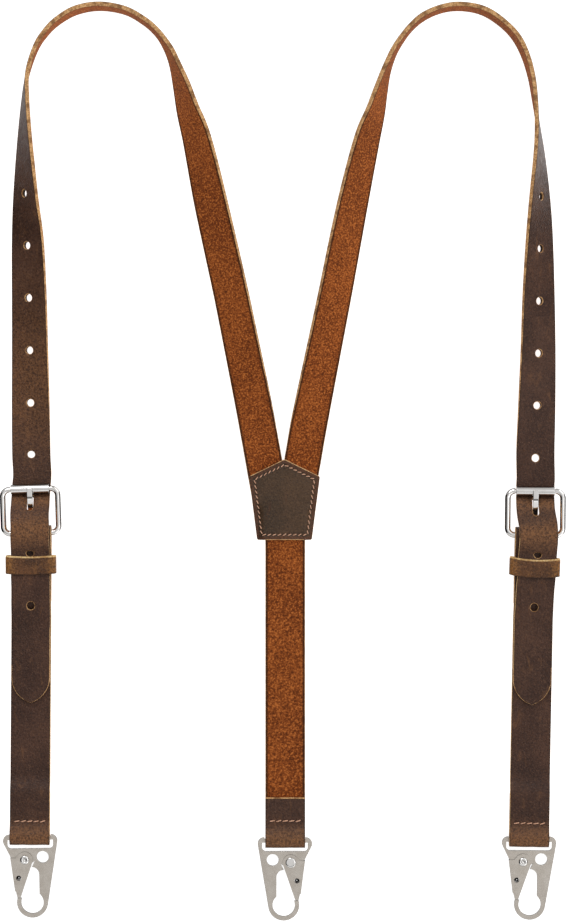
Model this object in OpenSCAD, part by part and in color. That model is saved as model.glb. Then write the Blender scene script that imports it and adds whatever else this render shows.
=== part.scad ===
// Leather suspenders with a Y back, laid flat on a table with the inside of the back up.
// X points right, Y towards the shoulder loops, Z up from the table. The origin is on the
// table, under the middle of the object. Each shoulder strap runs from its tongue, under a
// buckle's roller, round a shoulder loop and down to the patch, where the back strap starts.

/* [Leather straps] */
// Thickness of the strap leather
leather_t = 2.8; // [2.6:0.1:3]
// Width of a shoulder strap at its tongue
shoulder_w = 25; // [24:0.5:26]
// Width of a shoulder strap where the patch covers it
shoulder_end_w = 24; // [22:0.5:25]
// Width of the front straps and the back strap
strap_w = 26; // [24:0.5:26.5]
// Distance from a buckle's heel bar to the bar of the hook below it
front_len = 199.3; // [150:0.1:260]
// Length of the pointed end of a tongue
tip_len = 16.8; // [10:0.1:30]

/* [Adjustment holes] */
// Diameter of the punched holes
hole_d = 4.9; // [3:0.1:6]
// Number of holes in a shoulder strap
hole_count = 9; // [5:1:9]
// Distance between holes along the strap
hole_pitch = 34.2; // [30:0.1:36]
// Distance of the first hole from the tongue's tip
first_hole = 64.2; // [40:0.1:70]
// Which hole the prong is in, counted from zero
prong_hole = 2; // [2:1:2]

/* [Patch] */
// Thickness of each of the two patch layers
patch_t = 1.8; // [1.2:0.1:2.4]
// Half of the patch's width at its upper corners
patch_top_half = 23.2; // [20:0.1:26]
// Half of the patch's width along its lower edge
patch_foot_half = 17.9; // [15:0.1:20]
// Inset of the seam from the patch's edge
seam_inset = 3.4; // [2:0.1:6]
// Length of one stitch across a strap
stitch_len = 3.4; // [2:0.1:4]
// Length of one stitch round the patch
patch_stitch_len = 2.4; // [2:0.1:4]
// Diameter of the sewing thread
thread_d = 0.8; // [0.5:0.1:1.2]

/* [Buckles] */
// Outer width of a buckle frame
buckle_w = 39.8; // [38:0.1:44]
// Distance between the heel bar and the roller bar
buckle_pitch = 28.7; // [28.7:0.1:28.7]
// Diameter of the frame's wire at its sides
buckle_wire_d = 3.8; // [3:0.1:4]
// Diameter of the frame's two bars
bar_d = 3; // [2.6:0.1:3]
// Diameter of the roller
roller_d = 6; // [5:0.1:6]
// Length of the roller
roller_len = 25; // [22:0.5:26]
// Width of the prong
prong_w = 3.4; // [2.8:0.1:3.4]

/* [Keepers] */
// Outer width of a keeper loop
keeper_w = 33; // [31:0.5:36]
// Length of a keeper along the strap
keeper_len = 12; // [10:0.5:13]
// Thickness of a keeper's leather
keeper_t = 1.6; // [1.2:0.1:1.8]

/* [Hooks] */
// Thickness of the stamped hook plate
plate_t = 2; // [1.6:0.1:2.2]
// Radius of the round end of the hook
hook_end_r = 10.15; // [9.5:0.05:11]
// Width of the metal round the hook's end
hook_rim = 2.85; // [2.2:0.05:3.5]
// Radius of the round hole in the plate
eye_r = 3.9; // [3:0.1:4.2]
// Thickness of the gate's folded sheet
gate_t = 0.6; // [0.5:0.05:0.8]
// Radius of the rivet that the gate turns on
rivet_r = 1.45; // [1.2:0.05:1.6]

/* [Hidden] */
$fn = 48;

LEFT = 0;
RIGHT = 1;
BACK = 2;

grain_brown = [0.28, 0.2, 0.16];
keeper_brown = [0.4, 0.26, 0.15];
patch_brown = [0.27, 0.21, 0.18];
thread_tan = [0.72, 0.5, 0.38];
satin_nickel = [0.75, 0.73, 0.7];
bright_nickel = [0.85, 0.85, 0.86];
spring_steel = [0.35, 0.35, 0.36];

// Gap between leather layers of one assembly, and between a layer and the thread on it
layer_gap = 0.1;
thread_gap = 0.05;
// Running clearance of a ring or roller on its bar
ring_gap = 0.09;

// Centre of each buckle's heel bar, the strap's lean and the buckle's own tilt, in degrees
heel_at = [[-165, -47.6], [164, -49]];
strap_lean = [-0.35, -1.1];
buckle_tilt = [2.3, 0.6];
buckle_z = 6.4;
// Inner radius of the leather's fold round a heel bar and round a hook's bar
heel_fold_r = 2.4;
hook_fold_r = 1.95;
// Distance of the prong's hole from the heel bar
prong_at = 19;
// How far each tongue swings to the right over its heel bar, and at its prong's hole
tongue_sway = [-0.6, 2];
prong_shift = [-0.75, -0.2];
// Share of the second swing at a distance from the heel bar
prong_shift_share = [[4, 0], [14, 1], [27, 1], [39, 0]];
// How far each folded end reaches back from its bar
heel_fold_len = 45;
hook_fold_len = 30;
back_fold_len = 28.2;
// Places of the seams that close the folds, measured from their bars
heel_seam = 38;
hook_seam = 10.9;
back_seam = 13;

// Middle height of the lower layer, of the layer sewn on it, and of a hook's bar
low_mid = leather_t / 2;
top_mid = low_mid + leather_t + layer_gap;
hook_z = hook_fold_r + leather_t;
hook_mid_r = hook_fold_r + leather_t / 2;
heel_mid_r = heel_fold_r + leather_t / 2;
// Heights at a keeper: its lower wall, the front strap, the tongue, its upper wall
keeper_low = leather_t + 0.2;
strap_over_keeper = keeper_low + keeper_t + 0.2;
tongue_over_keeper = strap_over_keeper + leather_t + 0.5;
keeper_high = tongue_over_keeper + leather_t + 0.2;
keeper_mid_y = -20.4;
keeper_tilt = [0.8, -1.2];

// Underside of a tongue near its buckle: distance from the heel bar, height, share of sway
tongue_profile = [
    [-78, top_mid - low_mid, 0], [-66, top_mid - low_mid, 0], [-59, top_mid - low_mid + 0.2, 0],
    [-53, 4.6, 0], [-47, 6, 0.1], [-41, 6.5, 0.2], [-36, 6.9, 0.3], [-31.5, 7.8, 0.45],
    [-28.5, tongue_over_keeper, 0.55], [-24, tongue_over_keeper, 0.6],
    [-18, tongue_over_keeper, 0.7], [-12.8, tongue_over_keeper, 0.85], [-10.4, 8.8, 0.9],
    [-7.4, 10.3, 0.95], [-4, 11.6, 1], [0, 12.1, 1], [4.4, 12, 0.9], [9.2, 11.3, 0.7],
    [13.6, 9.7, 0.3], [17.4, 7.25, 0.05], [20.6, 4.6, 0], [23.6, 2.1, 0], [26, 0.6, 0],
    [28.9, 0, 0], [33, 0, 0], [39, 0, 0]
];
// Base edge of each shoulder strap from its buckle to the patch, as [x, y, lift, turn].
// The base edge rests on the table, lift is how far it is raised off it, and turn is how
// far the strap has rolled over that edge: 0 is grain up, 90 on edge, 180 grain down.
// The right strap's x is given from the centre line outwards, as a mirror image.
left_route = [
    [-177.9, 5, 0, 0], [-177.7, 33, 0, 9], [-177.2, 69, 0, 19], [-177, 105, 0, 25],
    [-176.7, 143, 0, 34], [-175.4, 170, 0, 49], [-173.2, 198, 0, 63],
    [-171.4, 217, 0, 72], [-169.3, 236, 0, 80], [-166.6, 252, 0, 86],
    [-160.7, 268.5, 0, 88], [-153.9, 278.4, 0, 89], [-146.2, 285.4, 0, 90],
    [-134.9, 291.5, 0, 91], [-120.2, 294, 0, 91], [-104.2, 291.4, 0, 91],
    [-92.6, 284.9, 0, 92], [-85.2, 278.4, 0, 93], [-80.6, 271.8, 0, 95],
    [-77, 263.8, 0, 99], [-74.7, 255.5, 0, 103], [-72.6, 242.4, 0, 113],
    [-70.2, 226, 0, 124], [-66.2, 207, 0, 136], [-59.6, 170.3, 0, 149],
    [-52.8, 138, 0, 154], [-45.9, 106, 0, 157], [-38.6, 69, 0, 162],
    [-31.6, 33, 0, 172], [-28.6, 17, 0.4, 179], [-26.3, 4.5, 1.8, 180],
    [-24.1, -8, 1.9, 180], [-20.6, -27, 1.9, 180]
];
right_route = [
    [-176.9, 5, 0, 3], [-177, 33, 0, 13], [-176.7, 69, 0, 24], [-175.8, 106, 0, 33],
    [-174.3, 143, 0, 45], [-172.2, 170, 0, 57], [-168.6, 198, 0, 73],
    [-165.4, 217, 0, 83], [-162.2, 236, 0, 89], [-159.6, 250, 0, 91],
    [-155.6, 263, 0, 92], [-150.4, 273.5, 0, 92], [-143.6, 281.6, 0, 91],
    [-133.7, 289, 0, 91], [-124.4, 292.7, 0, 91], [-112.6, 293.9, 0, 91],
    [-101.6, 292, 0, 91], [-91.6, 287.2, 0, 92], [-84.2, 281, 0, 92],
    [-78.6, 273.6, 0, 93], [-73.6, 264.6, 0, 95], [-69.9, 253, 0, 99],
    [-67.9, 240, 0, 107], [-66, 225, 0, 117], [-62.6, 207, 0, 129],
    [-55.8, 170.3, 0, 140], [-50, 138, 0, 146], [-44.2, 106, 0, 150],
    [-37.2, 69, 0, 156], [-30.4, 33, 0, 166], [-27.4, 17, 0.4, 176],
    [-25.2, 4.5, 1.8, 180], [-23, -8, 1.9, 180], [-19.5, -27, 1.9, 180]
];
// The two shoulder straps butt together on the centre line, less this gap on each side
butt_gap = 0.25;
// The outline isn't quite symmetric: this brings the middle of its box over the origin
box_centre = [-0.78, -2.53];

// Heart line of a front strap as [distance from the heel bar, height], in three runs
heel_tail = [
    [-heel_fold_len, low_mid], [-36, low_mid], [-26, low_mid], [-16, low_mid],
    [-9.5, low_mid + 0.05], [-4.5, low_mid + 0.7], [0, buckle_z - heel_mid_r]
];
strap_keeper_mid = strap_over_keeper + low_mid;
front_run = [
    [0, buckle_z + heel_mid_r], [-3.4, 9.9], [-6.8, 8.3], [-10, 6.7],
    [-12.6, strap_keeper_mid], [-19, strap_keeper_mid], [-25, strap_keeper_mid],
    [-28.6, strap_keeper_mid], [-32.4, 5.2], [-36, top_mid + 0.15], [-40, top_mid],
    [-46, top_mid], [-50, 3.2], [-54.5, 1.7], [-60, low_mid], [-75, low_mid],
    [-110, low_mid], [50 - front_len, low_mid], [41 - front_len, low_mid],
    [36.5 - front_len, 2.2], [33 - front_len, 3.6], [29 - front_len, top_mid],
    [20 - front_len, top_mid], [12 - front_len, top_mid]
];
// Heart line of a folded end's upper layer, from the seam to the hook's bar
hook_rise = [[9, 4.5], [6, 5.8], [3, 7.6], [0, hook_z + hook_mid_r]];
// The back strap's hook bar, and the heights of its heart line under the patch
back_hook_at = [0.6, -248.8];
back_top_y = -28.5;
back_x = 0.8;

// Positions in a hook, measured from the middle of its strap bar
lobe_at = [13.7, -1.9];
lobe_r = 4.1;
hook_bar_d = 2.4;
bar_half_len = 13.4;
slot_half_w = 14.9;
slot_foot = -6.9;
hook_end_at = [0.8, -42.5];
mouth_top_at = [0.7, -24];
mouth_top_r = 4.8;
arm_inner_x = 5.5;
nose_y = -39.6;
eye_at = [8, -12.6];
pivot_at = [-3.8, -14.3];
ear_r = 4.6;
shoulder_at = [-12.4, -11.9];
cheek_r = 5.3;
gate_shoulder = [-13.2, -13];
gate_foot = [-10.4, -35];
gate_tip = [-6.8, -39.2];
spring_at = [-7.9, -26.3];
spring_hole_r = 1.7;
spring_wire_r = 0.24;
spring_coil_r = 1.43;
spring_core_r = 0.4;
gate_gap = 0.1;
cheek_low = plate_t / 2 + gate_gap;
gate_half = cheek_low + gate_t;
hook_reach = -(hook_end_at.y - hook_end_r);
// The hook hangs from its bar until its round end touches the table
hook_droop = asin((hook_z - plate_t / 2) / hook_reach);
hook_lean = [0.8, -0.4, 0];
// How far each front hook has slid along its bar
hook_slide = [0.3, 0];

// ---- Curves ----

function clamped(p, i) = p[max(0, min(len(p) - 1, i))];

// A point on the smooth curve through p, a fraction t of the way from p[i] to p[i + 1]
function curve_point(p, i, t) =
    let (a = clamped(p, i - 1), b = p[i], c = p[i + 1], d = clamped(p, i + 2))
    0.5 * (2 * b + (c - a) * t + (2 * a - 5 * b + 4 * c - d) * t * t
        + (3 * b - a - 3 * c + d) * t * t * t);

function smooth(p, steps) = concat(
    [for (i = [0 : len(p) - 2]) for (j = [0 : steps - 1]) curve_point(p, i, j / steps)],
    [p[len(p) - 1]]
);

function unit(v) = v / norm(v);
function turned(v, angle) = [
    v.x * cos(angle) - v.y * sin(angle), v.x * sin(angle) + v.y * cos(angle)
];

// ---- Shoulder straps ----

// Stations [x, y, lift, turn] of one shoulder strap, from the tongue's tip to the patch
function tongue_station(side, y, z, sway) =
    let (
        sense = side == LEFT ? 1 : -1,
        heel = [sense * heel_at[side].x, heel_at[side].y],
        swing = sway * tongue_sway[side] + lookup(y, prong_shift_share) * prong_shift[side],
        x = sense * swing - shoulder_w / 2,
        p = heel + turned([x, y], sense * strap_lean[side])
    ) [p.x, p.y, z, 0];

// The tongue's rise over the keeper and the heel bar takes up this much of its length
rise_slack = 2.5;
tongue_tip_y = prong_at - first_hole - prong_hole * hole_pitch + rise_slack;
tip_station = 14;
function stations(side) = concat(
    [for (y = [tongue_tip_y, tongue_tip_y + tip_station])
        tongue_station(side, y, top_mid - low_mid, 0)],
    [for (p = tongue_profile) tongue_station(side, p.x, p.y, p.z)],
    side == LEFT ? left_route : right_route
);

// The base edge's corner, raised so that the strap's lowest corner keeps its lift
function corner(s) =
    let (turn = max(0, min(180, s[3])))
    [s.x, s.y, max(0, s.z) + max(0, -leather_t * cos(turn)), turn];

function run_lengths(p) = [
    for (i = 0, s = 0; i < len(p); i = i + 1,
        s = s + (i < len(p) ? norm(p[i] - p[i - 1]) : 0)) s
];

// Table of [distance along the strap, value] for each of x, y, z and turn
function strap_table(side) =
    let (
        points = [for (s = smooth(stations(side), 4)) corner(s)],
        lengths = run_lengths([for (p = points) [p.x, p.y, p.z]])
    )
    [for (k = [0 : 3]) [for (i = [0 : len(points) - 1]) [lengths[i], points[i][k]]]];

left_table = strap_table(LEFT);
right_table = strap_table(RIGHT);

function place(table, s) = [for (k = [0 : 2]) lookup(s, table[k])];

// Directions at a distance s: across the strap, along it, and out of the grain
function strap_axes(table, s) =
    let (
        turn = lookup(s, table[3]),
        along = unit(place(table, s + 0.6) - place(table, s - 0.6)),
        side = unit(cross(along, [0, 0, 1])),
        up = cross(side, along)
    )
    [cos(turn) * side + sin(turn) * up, along, cos(turn) * up - sin(turn) * side];

// Half of the tongue's width at a distance d from its tip: two arcs that meet in a point
function tip_half(d) =
    let (r = (tip_len * tip_len + shoulder_w * shoulder_w / 4) / shoulder_w)
    d >= tip_len ? shoulder_w / 2
    : max(0.4, sqrt(r * r - (tip_len - d) * (tip_len - d)) - r + shoulder_w / 2);

// Where the strap starts and ends across its width, measured from the base edge
function strap_span(table, s, across) =
    let (
        turn = lookup(s, table[3]),
        w = shoulder_w + (shoulder_end_w - shoulder_w) * turn / 180,
        to_centre = (-butt_gap - place(table, s).x) / max(0.01, across.x),
        half = tip_half(s)
    )
    s < tip_len ? [w / 2 - half, w / 2 + half] : [0, min(w, to_centre)];

function strap_ring(table, s) =
    let (
        c = place(table, s), axes = strap_axes(table, s), span = strap_span(table, s, axes[0])
    )
    [for (k = [[0, 0], [1, 0], [1, 1], [0, 1]])
        c + span[k.x] * axes[0] + k.y * leather_t * axes[2]];

tip_rings = 8;
function ring_places(table) = concat(
    [for (i = [0 : tip_rings]) tip_len * pow(i / tip_rings, 2)],
    [for (entry = table[0]) if (entry[0] > tip_len + 1) entry[0]]
);

// A closed skin over a row of rings that have the same number of points
module skin(rings) {
    sides = len(rings[0]);
    last = (len(rings) - 1) * sides;
    polyhedron(
        points = [for (ring = rings) each ring],
        faces = concat(
            [[for (j = [sides - 1 : -1 : 0]) j]],
            [for (i = [0 : len(rings) - 2]) for (j = [0 : sides - 1])
                each let (a = i * sides + j, b = i * sides + (j + 1) % sides)
                    [[a, b + sides, a + sides], [a, b, b + sides]]],
            [[for (j = [0 : sides - 1]) last + j]]
        )
    );
}

// A cutter at a distance s along the strap, through its middle, its z out of the grain
module at_strap(table, s) {
    axes = strap_axes(table, s);
    c = place(table, s) + axes[0] * shoulder_w / 2 + axes[2] * leather_t / 2;
    multmatrix([for (k = [0 : 2]) [axes[0][k], axes[1][k], axes[2][k], c[k]]])
        children();
}

// The prong has drawn its hole out into a short, narrower slot
slot_pull = 3.4;
slot_w = 4.3;
hole_cut = 3 * leather_t;
module adjustment_hole(index) {
    if (index == prong_hole) {
        for (pull = [-slot_pull, slot_pull])
            translate([0, pull, 0]) cylinder(h = hole_cut, d = slot_w, center = true);
        cube([slot_w, 2 * slot_pull, hole_cut], center = true);
    } else {
        cylinder(h = hole_cut, d = hole_d, center = true);
    }
}

module centred() {
    translate([-box_centre.x, -box_centre.y, 0]) children();
}

module shoulder_strap(table) {
    color(grain_brown)
    difference() {
        skin([for (s = ring_places(table)) strap_ring(table, s)]);
        for (i = [0 : hole_count - 1])
            at_strap(table, first_hole + i * hole_pitch) adjustment_hole(i);
    }
}

module left_shoulder_strap() { centred() shoulder_strap(left_table); }
module right_shoulder_strap() { centred() mirror([1, 0, 0]) shoulder_strap(right_table); }

// ---- Folded straps ----

function arc_points(centre, r, from, to, steps) = [
    for (i = [0 : steps]) let (a = from + (to - from) * i / steps)
        [centre.x + r * cos(a), centre.y + r * sin(a)]
];

function heading(p, i) = unit(clamped(p, i + 1) - clamped(p, i - 1));

// Outline of a band of thickness t that follows the heart line p
function band_outline(p, t) =
    let (offsets = [for (i = [0 : len(p) - 1]) let (d = heading(p, i)) [-d.y, d.x] * t / 2])
    concat(
        [for (i = [0 : len(p) - 1]) p[i] + offsets[i]],
        [for (i = [len(p) - 1 : -1 : 0]) p[i] - offsets[i]]
    );

// A bent strip whose heart line is given in the YZ plane
module band(line, width, thickness) {
    translate([-width / 2, 0, 0])
        rotate([90, 0, 90]) linear_extrude(width) polygon(band_outline(line, thickness));
}

// No part of a heart line comes lower than half the leather's thickness
function grounded(line) = [for (p = line) [p.x, max(low_mid, p.y)]];

function front_line() = concat(
    grounded(smooth(heel_tail, 3)),
    arc_points([0, buckle_z], heel_mid_r, -75, 75, 10),
    grounded(smooth(concat(front_run, [for (p = hook_rise) [p.x - front_len, p.y]]), 3)),
    arc_points([-front_len, hook_z], hook_mid_r, 105, 255, 10),
    [for (y = [0 : 6 : hook_fold_len]) [y - front_len, low_mid]]
);

module on_side(side) {
    centred() translate([heel_at[side].x, heel_at[side].y, 0])
        rotate([0, 0, strap_lean[side]]) children();
}

// The slot through which the prong's ring sits on the heel bar
prong_slot_w = prong_w + 1.4;
prong_slot_back = 7;
prong_slot_front = 10;
// Length of a cutter that passes through anything in its way
through = 30;

module front_strap(side) {
    color(grain_brown) on_side(side)
    difference() {
        band(front_line(), strap_w, leather_t);
        translate([-prong_slot_w / 2, -prong_slot_back, -through / 2])
            cube([prong_slot_w, prong_slot_back + prong_slot_front, through]);
    }
}

module left_front_strap() { front_strap(LEFT); }
module right_front_strap() { front_strap(RIGHT); }

// Heart line of the back strap, whose folded end lies on top, from under the patch down
back_mid = low_mid + patch_t + layer_gap;
function back_line() =
    let (bar_y = back_hook_at.y, end = bar_y + back_fold_len)
    concat(
        grounded(smooth([
            [back_top_y, back_mid], [-38, back_mid], [-48, back_mid], [-54, back_mid],
            [-58, 2.7], [-63, 1.6], [-69, low_mid], [-84, low_mid], [-120, low_mid],
            [-180, low_mid], [bar_y + 24, low_mid], [bar_y + 8, low_mid], [bar_y, low_mid]
        ], 3)),
        arc_points([bar_y, hook_z], hook_mid_r, 255, 105, 10),
        smooth(concat(
            [for (i = [len(hook_rise) - 1 : -1 : 0]) [bar_y + hook_rise[i].x, hook_rise[i].y]],
            [[bar_y + 12, top_mid], [bar_y + 20, top_mid], [end, top_mid]]
        ), 3)
    );

module back_strap() {
    color(grain_brown) centred() translate([back_x, 0, 0])
        band(back_line(), strap_w, leather_t);
}

// ---- Patch and stitching ----

patch_x = 0.3;
patch_corners = [
    [0, 0.6], [patch_top_half, -10.7], [patch_foot_half, -52.2],
    [-patch_foot_half, -52.2], [-patch_top_half, -10.7]
];

// A corner of the seam, which runs at the same distance from both edges that meet there
function seam_corner(p, i) =
    let (
        n = len(p),
        a = turned(unit(p[i] - p[(i + n - 1) % n]), -90),
        b = turned(unit(p[(i + 1) % n] - p[i]), -90)
    )
    p[i] + seam_inset * (a + b) / (1 + a * b);

module patch(z) {
    color(patch_brown) centred() translate([patch_x, 0, z]) linear_extrude(patch_t)
        polygon(patch_corners);
}

inner_patch_z = patch_t + leather_t + 2 * layer_gap;
module inner_patch() { patch(inner_patch_z); }
module outer_patch() { patch(0); }

// A row of stitches from p to q, lying on a face at height z
module stitch_row(p, q, z, stitch) {
    count = round(norm(q - p) / (stitch + thread_d));
    for (i = [0 : count - 1])
        translate(concat(p + (q - p) * (i + 0.5) / count, z + thread_gap + thread_d / 2))
            rotate([0, 0, atan2(q.y - p.y, q.x - p.x)])
                rotate([0, 90, 0])
                    cylinder(h = stitch, d = thread_d, center = true, $fn = 24);
}

module patch_stitching() {
    corners = [for (i = [0 : len(patch_corners) - 1]) seam_corner(patch_corners, i)];
    color(thread_tan) centred() translate([patch_x, 0, 0])
        for (i = [0 : len(corners) - 1])
            stitch_row(corners[i], clamped(corners, (i + 1) % len(corners)),
                inner_patch_z + patch_t, patch_stitch_len);
}

// A straight seam across a strap
seam_half = 10.6;
module cross_seam(y, z) {
    color(thread_tan) stitch_row([-seam_half, y], [seam_half, y], z, stitch_len);
}

seam_z = top_mid + low_mid;
// The fold's upper layer is a little raised over the seam at the buckle
buckle_seam_z = seam_z + 0.08;
module left_fold_stitching() { on_side(LEFT) cross_seam(hook_seam - front_len, seam_z); }
module right_fold_stitching() { on_side(RIGHT) cross_seam(hook_seam - front_len, seam_z); }
module back_fold_stitching() {
    centred() translate([back_x, back_hook_at.y, 0]) cross_seam(back_seam, seam_z);
}
module left_buckle_stitching() { on_side(LEFT) cross_seam(-heel_seam, buckle_seam_z); }
module right_buckle_stitching() { on_side(RIGHT) cross_seam(-heel_seam, buckle_seam_z); }

// ---- Buckles ----

corner_r = 4.6;
side_x = (buckle_w - buckle_wire_d) / 2;
bar_half = side_x - corner_r;

// The buckle's own frame: x along the heel bar, y towards the roller
module in_buckle(side) {
    on_side(side) translate([0, 0, buckle_z]) rotate([0, 0, buckle_tilt[side]]) children();
}

module bar_x(d, length) {
    rotate([0, 90, 0]) cylinder(h = length, d = d, center = true);
}

module buckle_frame() {
    color(bright_nickel) {
        for (y = [0, buckle_pitch])
            translate([0, y, 0]) bar_x(bar_d, 2 * bar_half + 0.4);
        for (sense = [-1, 1]) {
            translate([sense * side_x, corner_r, 0]) rotate([-90, 0, 0])
                cylinder(h = buckle_pitch - 2 * corner_r, d = buckle_wire_d);
            for (top = [0, 1])
                translate([sense * bar_half, top == 1 ? buckle_pitch - corner_r : corner_r, 0])
                    rotate([0, 0, sense == 1 ? (top == 1 ? 0 : -90) : (top == 1 ? 90 : 180)])
                        rotate_extrude(angle = 90)
                            translate([corner_r, 0]) circle(d = buckle_wire_d);
        }
    }
}

module buckle_roller() {
    color(bright_nickel) translate([0, buckle_pitch, 0]) difference() {
        bar_x(roller_d, roller_len);
        bar_x(bar_d + 2 * ring_gap, 2 * roller_len);
    }
}

// Heart line of the prong from its ring to its end on the roller, measured from the bar
prong_t = 2.4;
prong_ring_r = 2.7;
prong_line = smooth([
    [2, -0.7], [7, -1.1], [11.5, -1.1], [15.3, -0.1], [18.8, 1.9], [22, 3.6],
    [25.4, 4.35], [29.3, 4.45]
], 3);

module buckle_prong() {
    color(bright_nickel) difference() {
        union() {
            bar_x(2 * prong_ring_r, prong_w);
            band(prong_line, prong_w, prong_t);
        }
        bar_x(bar_d + 2 * ring_gap, through);
    }
}

module left_buckle_frame() { in_buckle(LEFT) buckle_frame(); }
module left_buckle_roller() { in_buckle(LEFT) buckle_roller(); }
module left_buckle_prong() { in_buckle(LEFT) buckle_prong(); }
module right_buckle_frame() { in_buckle(RIGHT) buckle_frame(); }
module right_buckle_roller() { in_buckle(RIGHT) buckle_roller(); }
module right_buckle_prong() { in_buckle(RIGHT) buckle_prong(); }

// ---- Keepers ----

keeper_outer_r = 2.7;
keeper_inner_r = 0.9;
module rounded_box(half_w, low, high, r) {
    for (x = [-half_w + r, half_w - r]) for (z = [low + r, high - r])
        translate([x, z]) circle(r);
    translate([-half_w + r, low]) square([2 * (half_w - r), high - low]);
    translate([-half_w, low + r]) square([2 * half_w, high - low - 2 * r]);
}

module keeper(side) {
    low = keeper_low;
    high = keeper_high + keeper_t;
    color(keeper_brown) on_side(side)
    translate([0, keeper_mid_y, 0]) rotate([0, 0, keeper_tilt[side]])
    translate([0, keeper_len / 2, 0]) rotate([90, 0, 0]) linear_extrude(keeper_len)
    difference() {
        rounded_box(keeper_w / 2, low, high, keeper_outer_r);
        rounded_box(keeper_w / 2 - keeper_t, low + keeper_t, high - keeper_t, keeper_inner_r);
    }
}

module left_keeper() { keeper(LEFT); }
module right_keeper() { keeper(RIGHT); }

// ---- Hooks ----

module disc_at(p, r) { translate(p) circle(r); }

module hook_body_outline() {
    hull() {
        disc_at(lobe_at, lobe_r);
        disc_at([-lobe_at.x, lobe_at.y], lobe_r);
        disc_at(shoulder_at, 0.8);
        disc_at(pivot_at, ear_r);
    }
}

// The hook's mouth, and the space that the gate closes
module mouth_outline() {
    disc_at(mouth_top_at, mouth_top_r);
    disc_at(hook_end_at, hook_end_r - hook_rim);
    polygon([
        [-30, -12.7], [pivot_at.x, -12.7], [pivot_at.x, mouth_top_at.y + mouth_top_r],
        [mouth_top_at.x, mouth_top_at.y + mouth_top_r], mouth_top_at,
        [arm_inner_x, mouth_top_at.y], [arm_inner_x, -37.5], [7.9, -41],
        hook_end_at, [-6.1, nose_y], [-30, nose_y]
    ]);
}

module strap_slot_outline() {
    r = 2.4;
    top = -hook_bar_d / 2;
    for (x = [-slot_half_w + r, slot_half_w - r]) disc_at([x, slot_foot + r], r);
    translate([-slot_half_w + r, slot_foot]) square([2 * (slot_half_w - r), top - slot_foot]);
    translate([-slot_half_w, slot_foot + r])
        square([2 * slot_half_w, top - slot_foot - r]);
}

module hook_plate() {
    color(satin_nickel) translate([0, 0, -plate_t / 2]) linear_extrude(plate_t)
    difference() {
        union() {
            difference() {
                hull() {
                    disc_at(lobe_at, lobe_r);
                    disc_at(hook_end_at, hook_end_r);
                }
                mouth_outline();
            }
            hook_body_outline();
        }
        strap_slot_outline();
        translate([-bar_half_len, hook_bar_d / 2]) square([2 * bar_half_len, lobe_r]);
        disc_at(eye_at, eye_r);
        disc_at(pivot_at, rivet_r + 0.05);
    }
}

module gate_cheek_outline() {
    disc_at(pivot_at, cheek_r);
    polygon([
        gate_shoulder, [-9.8, -13], [-7.7, -10.7], pivot_at, pivot_at + [5, -1.72],
        gate_tip, [-8.9, -39.3], [-9.9, -35], gate_foot
    ]);
}

module hook_gate() {
    spine = [gate_shoulder, gate_shoulder + [gate_t, 0], gate_foot + [gate_t, 0], gate_foot];
    color(satin_nickel) difference() {
        union() {
            for (z = [cheek_low, -gate_half])
                translate([0, 0, z]) linear_extrude(gate_t) gate_cheek_outline();
            translate([0, 0, -gate_half]) linear_extrude(2 * gate_half) polygon(spine);
        }
        translate(pivot_at) cylinder(h = through, r = rivet_r + ring_gap, center = true);
        translate(spring_at) cylinder(h = through, r = spring_hole_r, center = true);
    }
}

// The front end of the rivet is spread and hollow, its back end is a flat head
module hook_rivet() {
    front = gate_half + 0.05;
    front_r = 2.9;
    front_t = 0.7;
    head_r = 3.4;
    head_t = 0.8;
    color(satin_nickel) translate(pivot_at) difference() {
        union() {
            translate([0, 0, -front - 0.1]) cylinder(h = 2 * front + 0.2, r = rivet_r);
            translate([0, 0, front]) cylinder(h = front_t, r1 = front_r, r2 = front_r - 0.4);
            translate([0, 0, -front - head_t])
                cylinder(h = head_t, r1 = head_r - 0.3, r2 = head_r);
        }
        translate([0, 0, front - 0.5]) cylinder(h = 2, r = 0.95);
    }
}

// Ring of points round one place on a wire, square to its direction
function wire_ring(p, i, r, sides) =
    let (
        d = unit(clamped(p, i + 1) - clamped(p, i - 1)),
        a = unit(cross(d, abs(d.z) < 0.9 ? [0, 0, 1] : [1, 0, 0])),
        b = cross(a, d)
    )
    [for (k = [0 : sides - 1]) p[i] + r * (cos(360 * k / sides) * a + sin(360 * k / sides) * b)];

// A cone of wire, with one leg on the gate's spine and the other on the plate's ear
module hook_spring() {
    turns = 3;
    steps = 14;
    last = turns * steps + 3;
    start = 215;
    low = -0.64;
    coil = [for (i = [0 : last])
        let (
            a = start - 360 * i / steps,
            r = spring_coil_r + (spring_core_r - spring_coil_r) * i / last
        )
        [spring_at.x + r * cos(a), spring_at.y + r * sin(a), low - 2 * low * i / last]];
    wire = concat([[-9.75, -31.4, low]], coil, [[-6.1, -19.3, 0.7]]);
    color(spring_steel)
        skin([for (i = [0 : len(wire) - 1]) wire_ring(wire, i, spring_wire_r, 8)]);
}

function front_hook_at(side) =
    let (p = turned([hook_slide[side], -front_len], strap_lean[side]))
    [heel_at[side].x + p.x, heel_at[side].y + p.y, hook_z];

// The back hook lies the other way up
module at_hook(which) {
    bar_at = which == BACK ? concat(back_hook_at, hook_z) : front_hook_at(which);
    centred() translate(bar_at) rotate([hook_droop, 0, hook_lean[which]])
        rotate([0, which == BACK ? 180 : 0, 0]) children();
}

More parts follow.
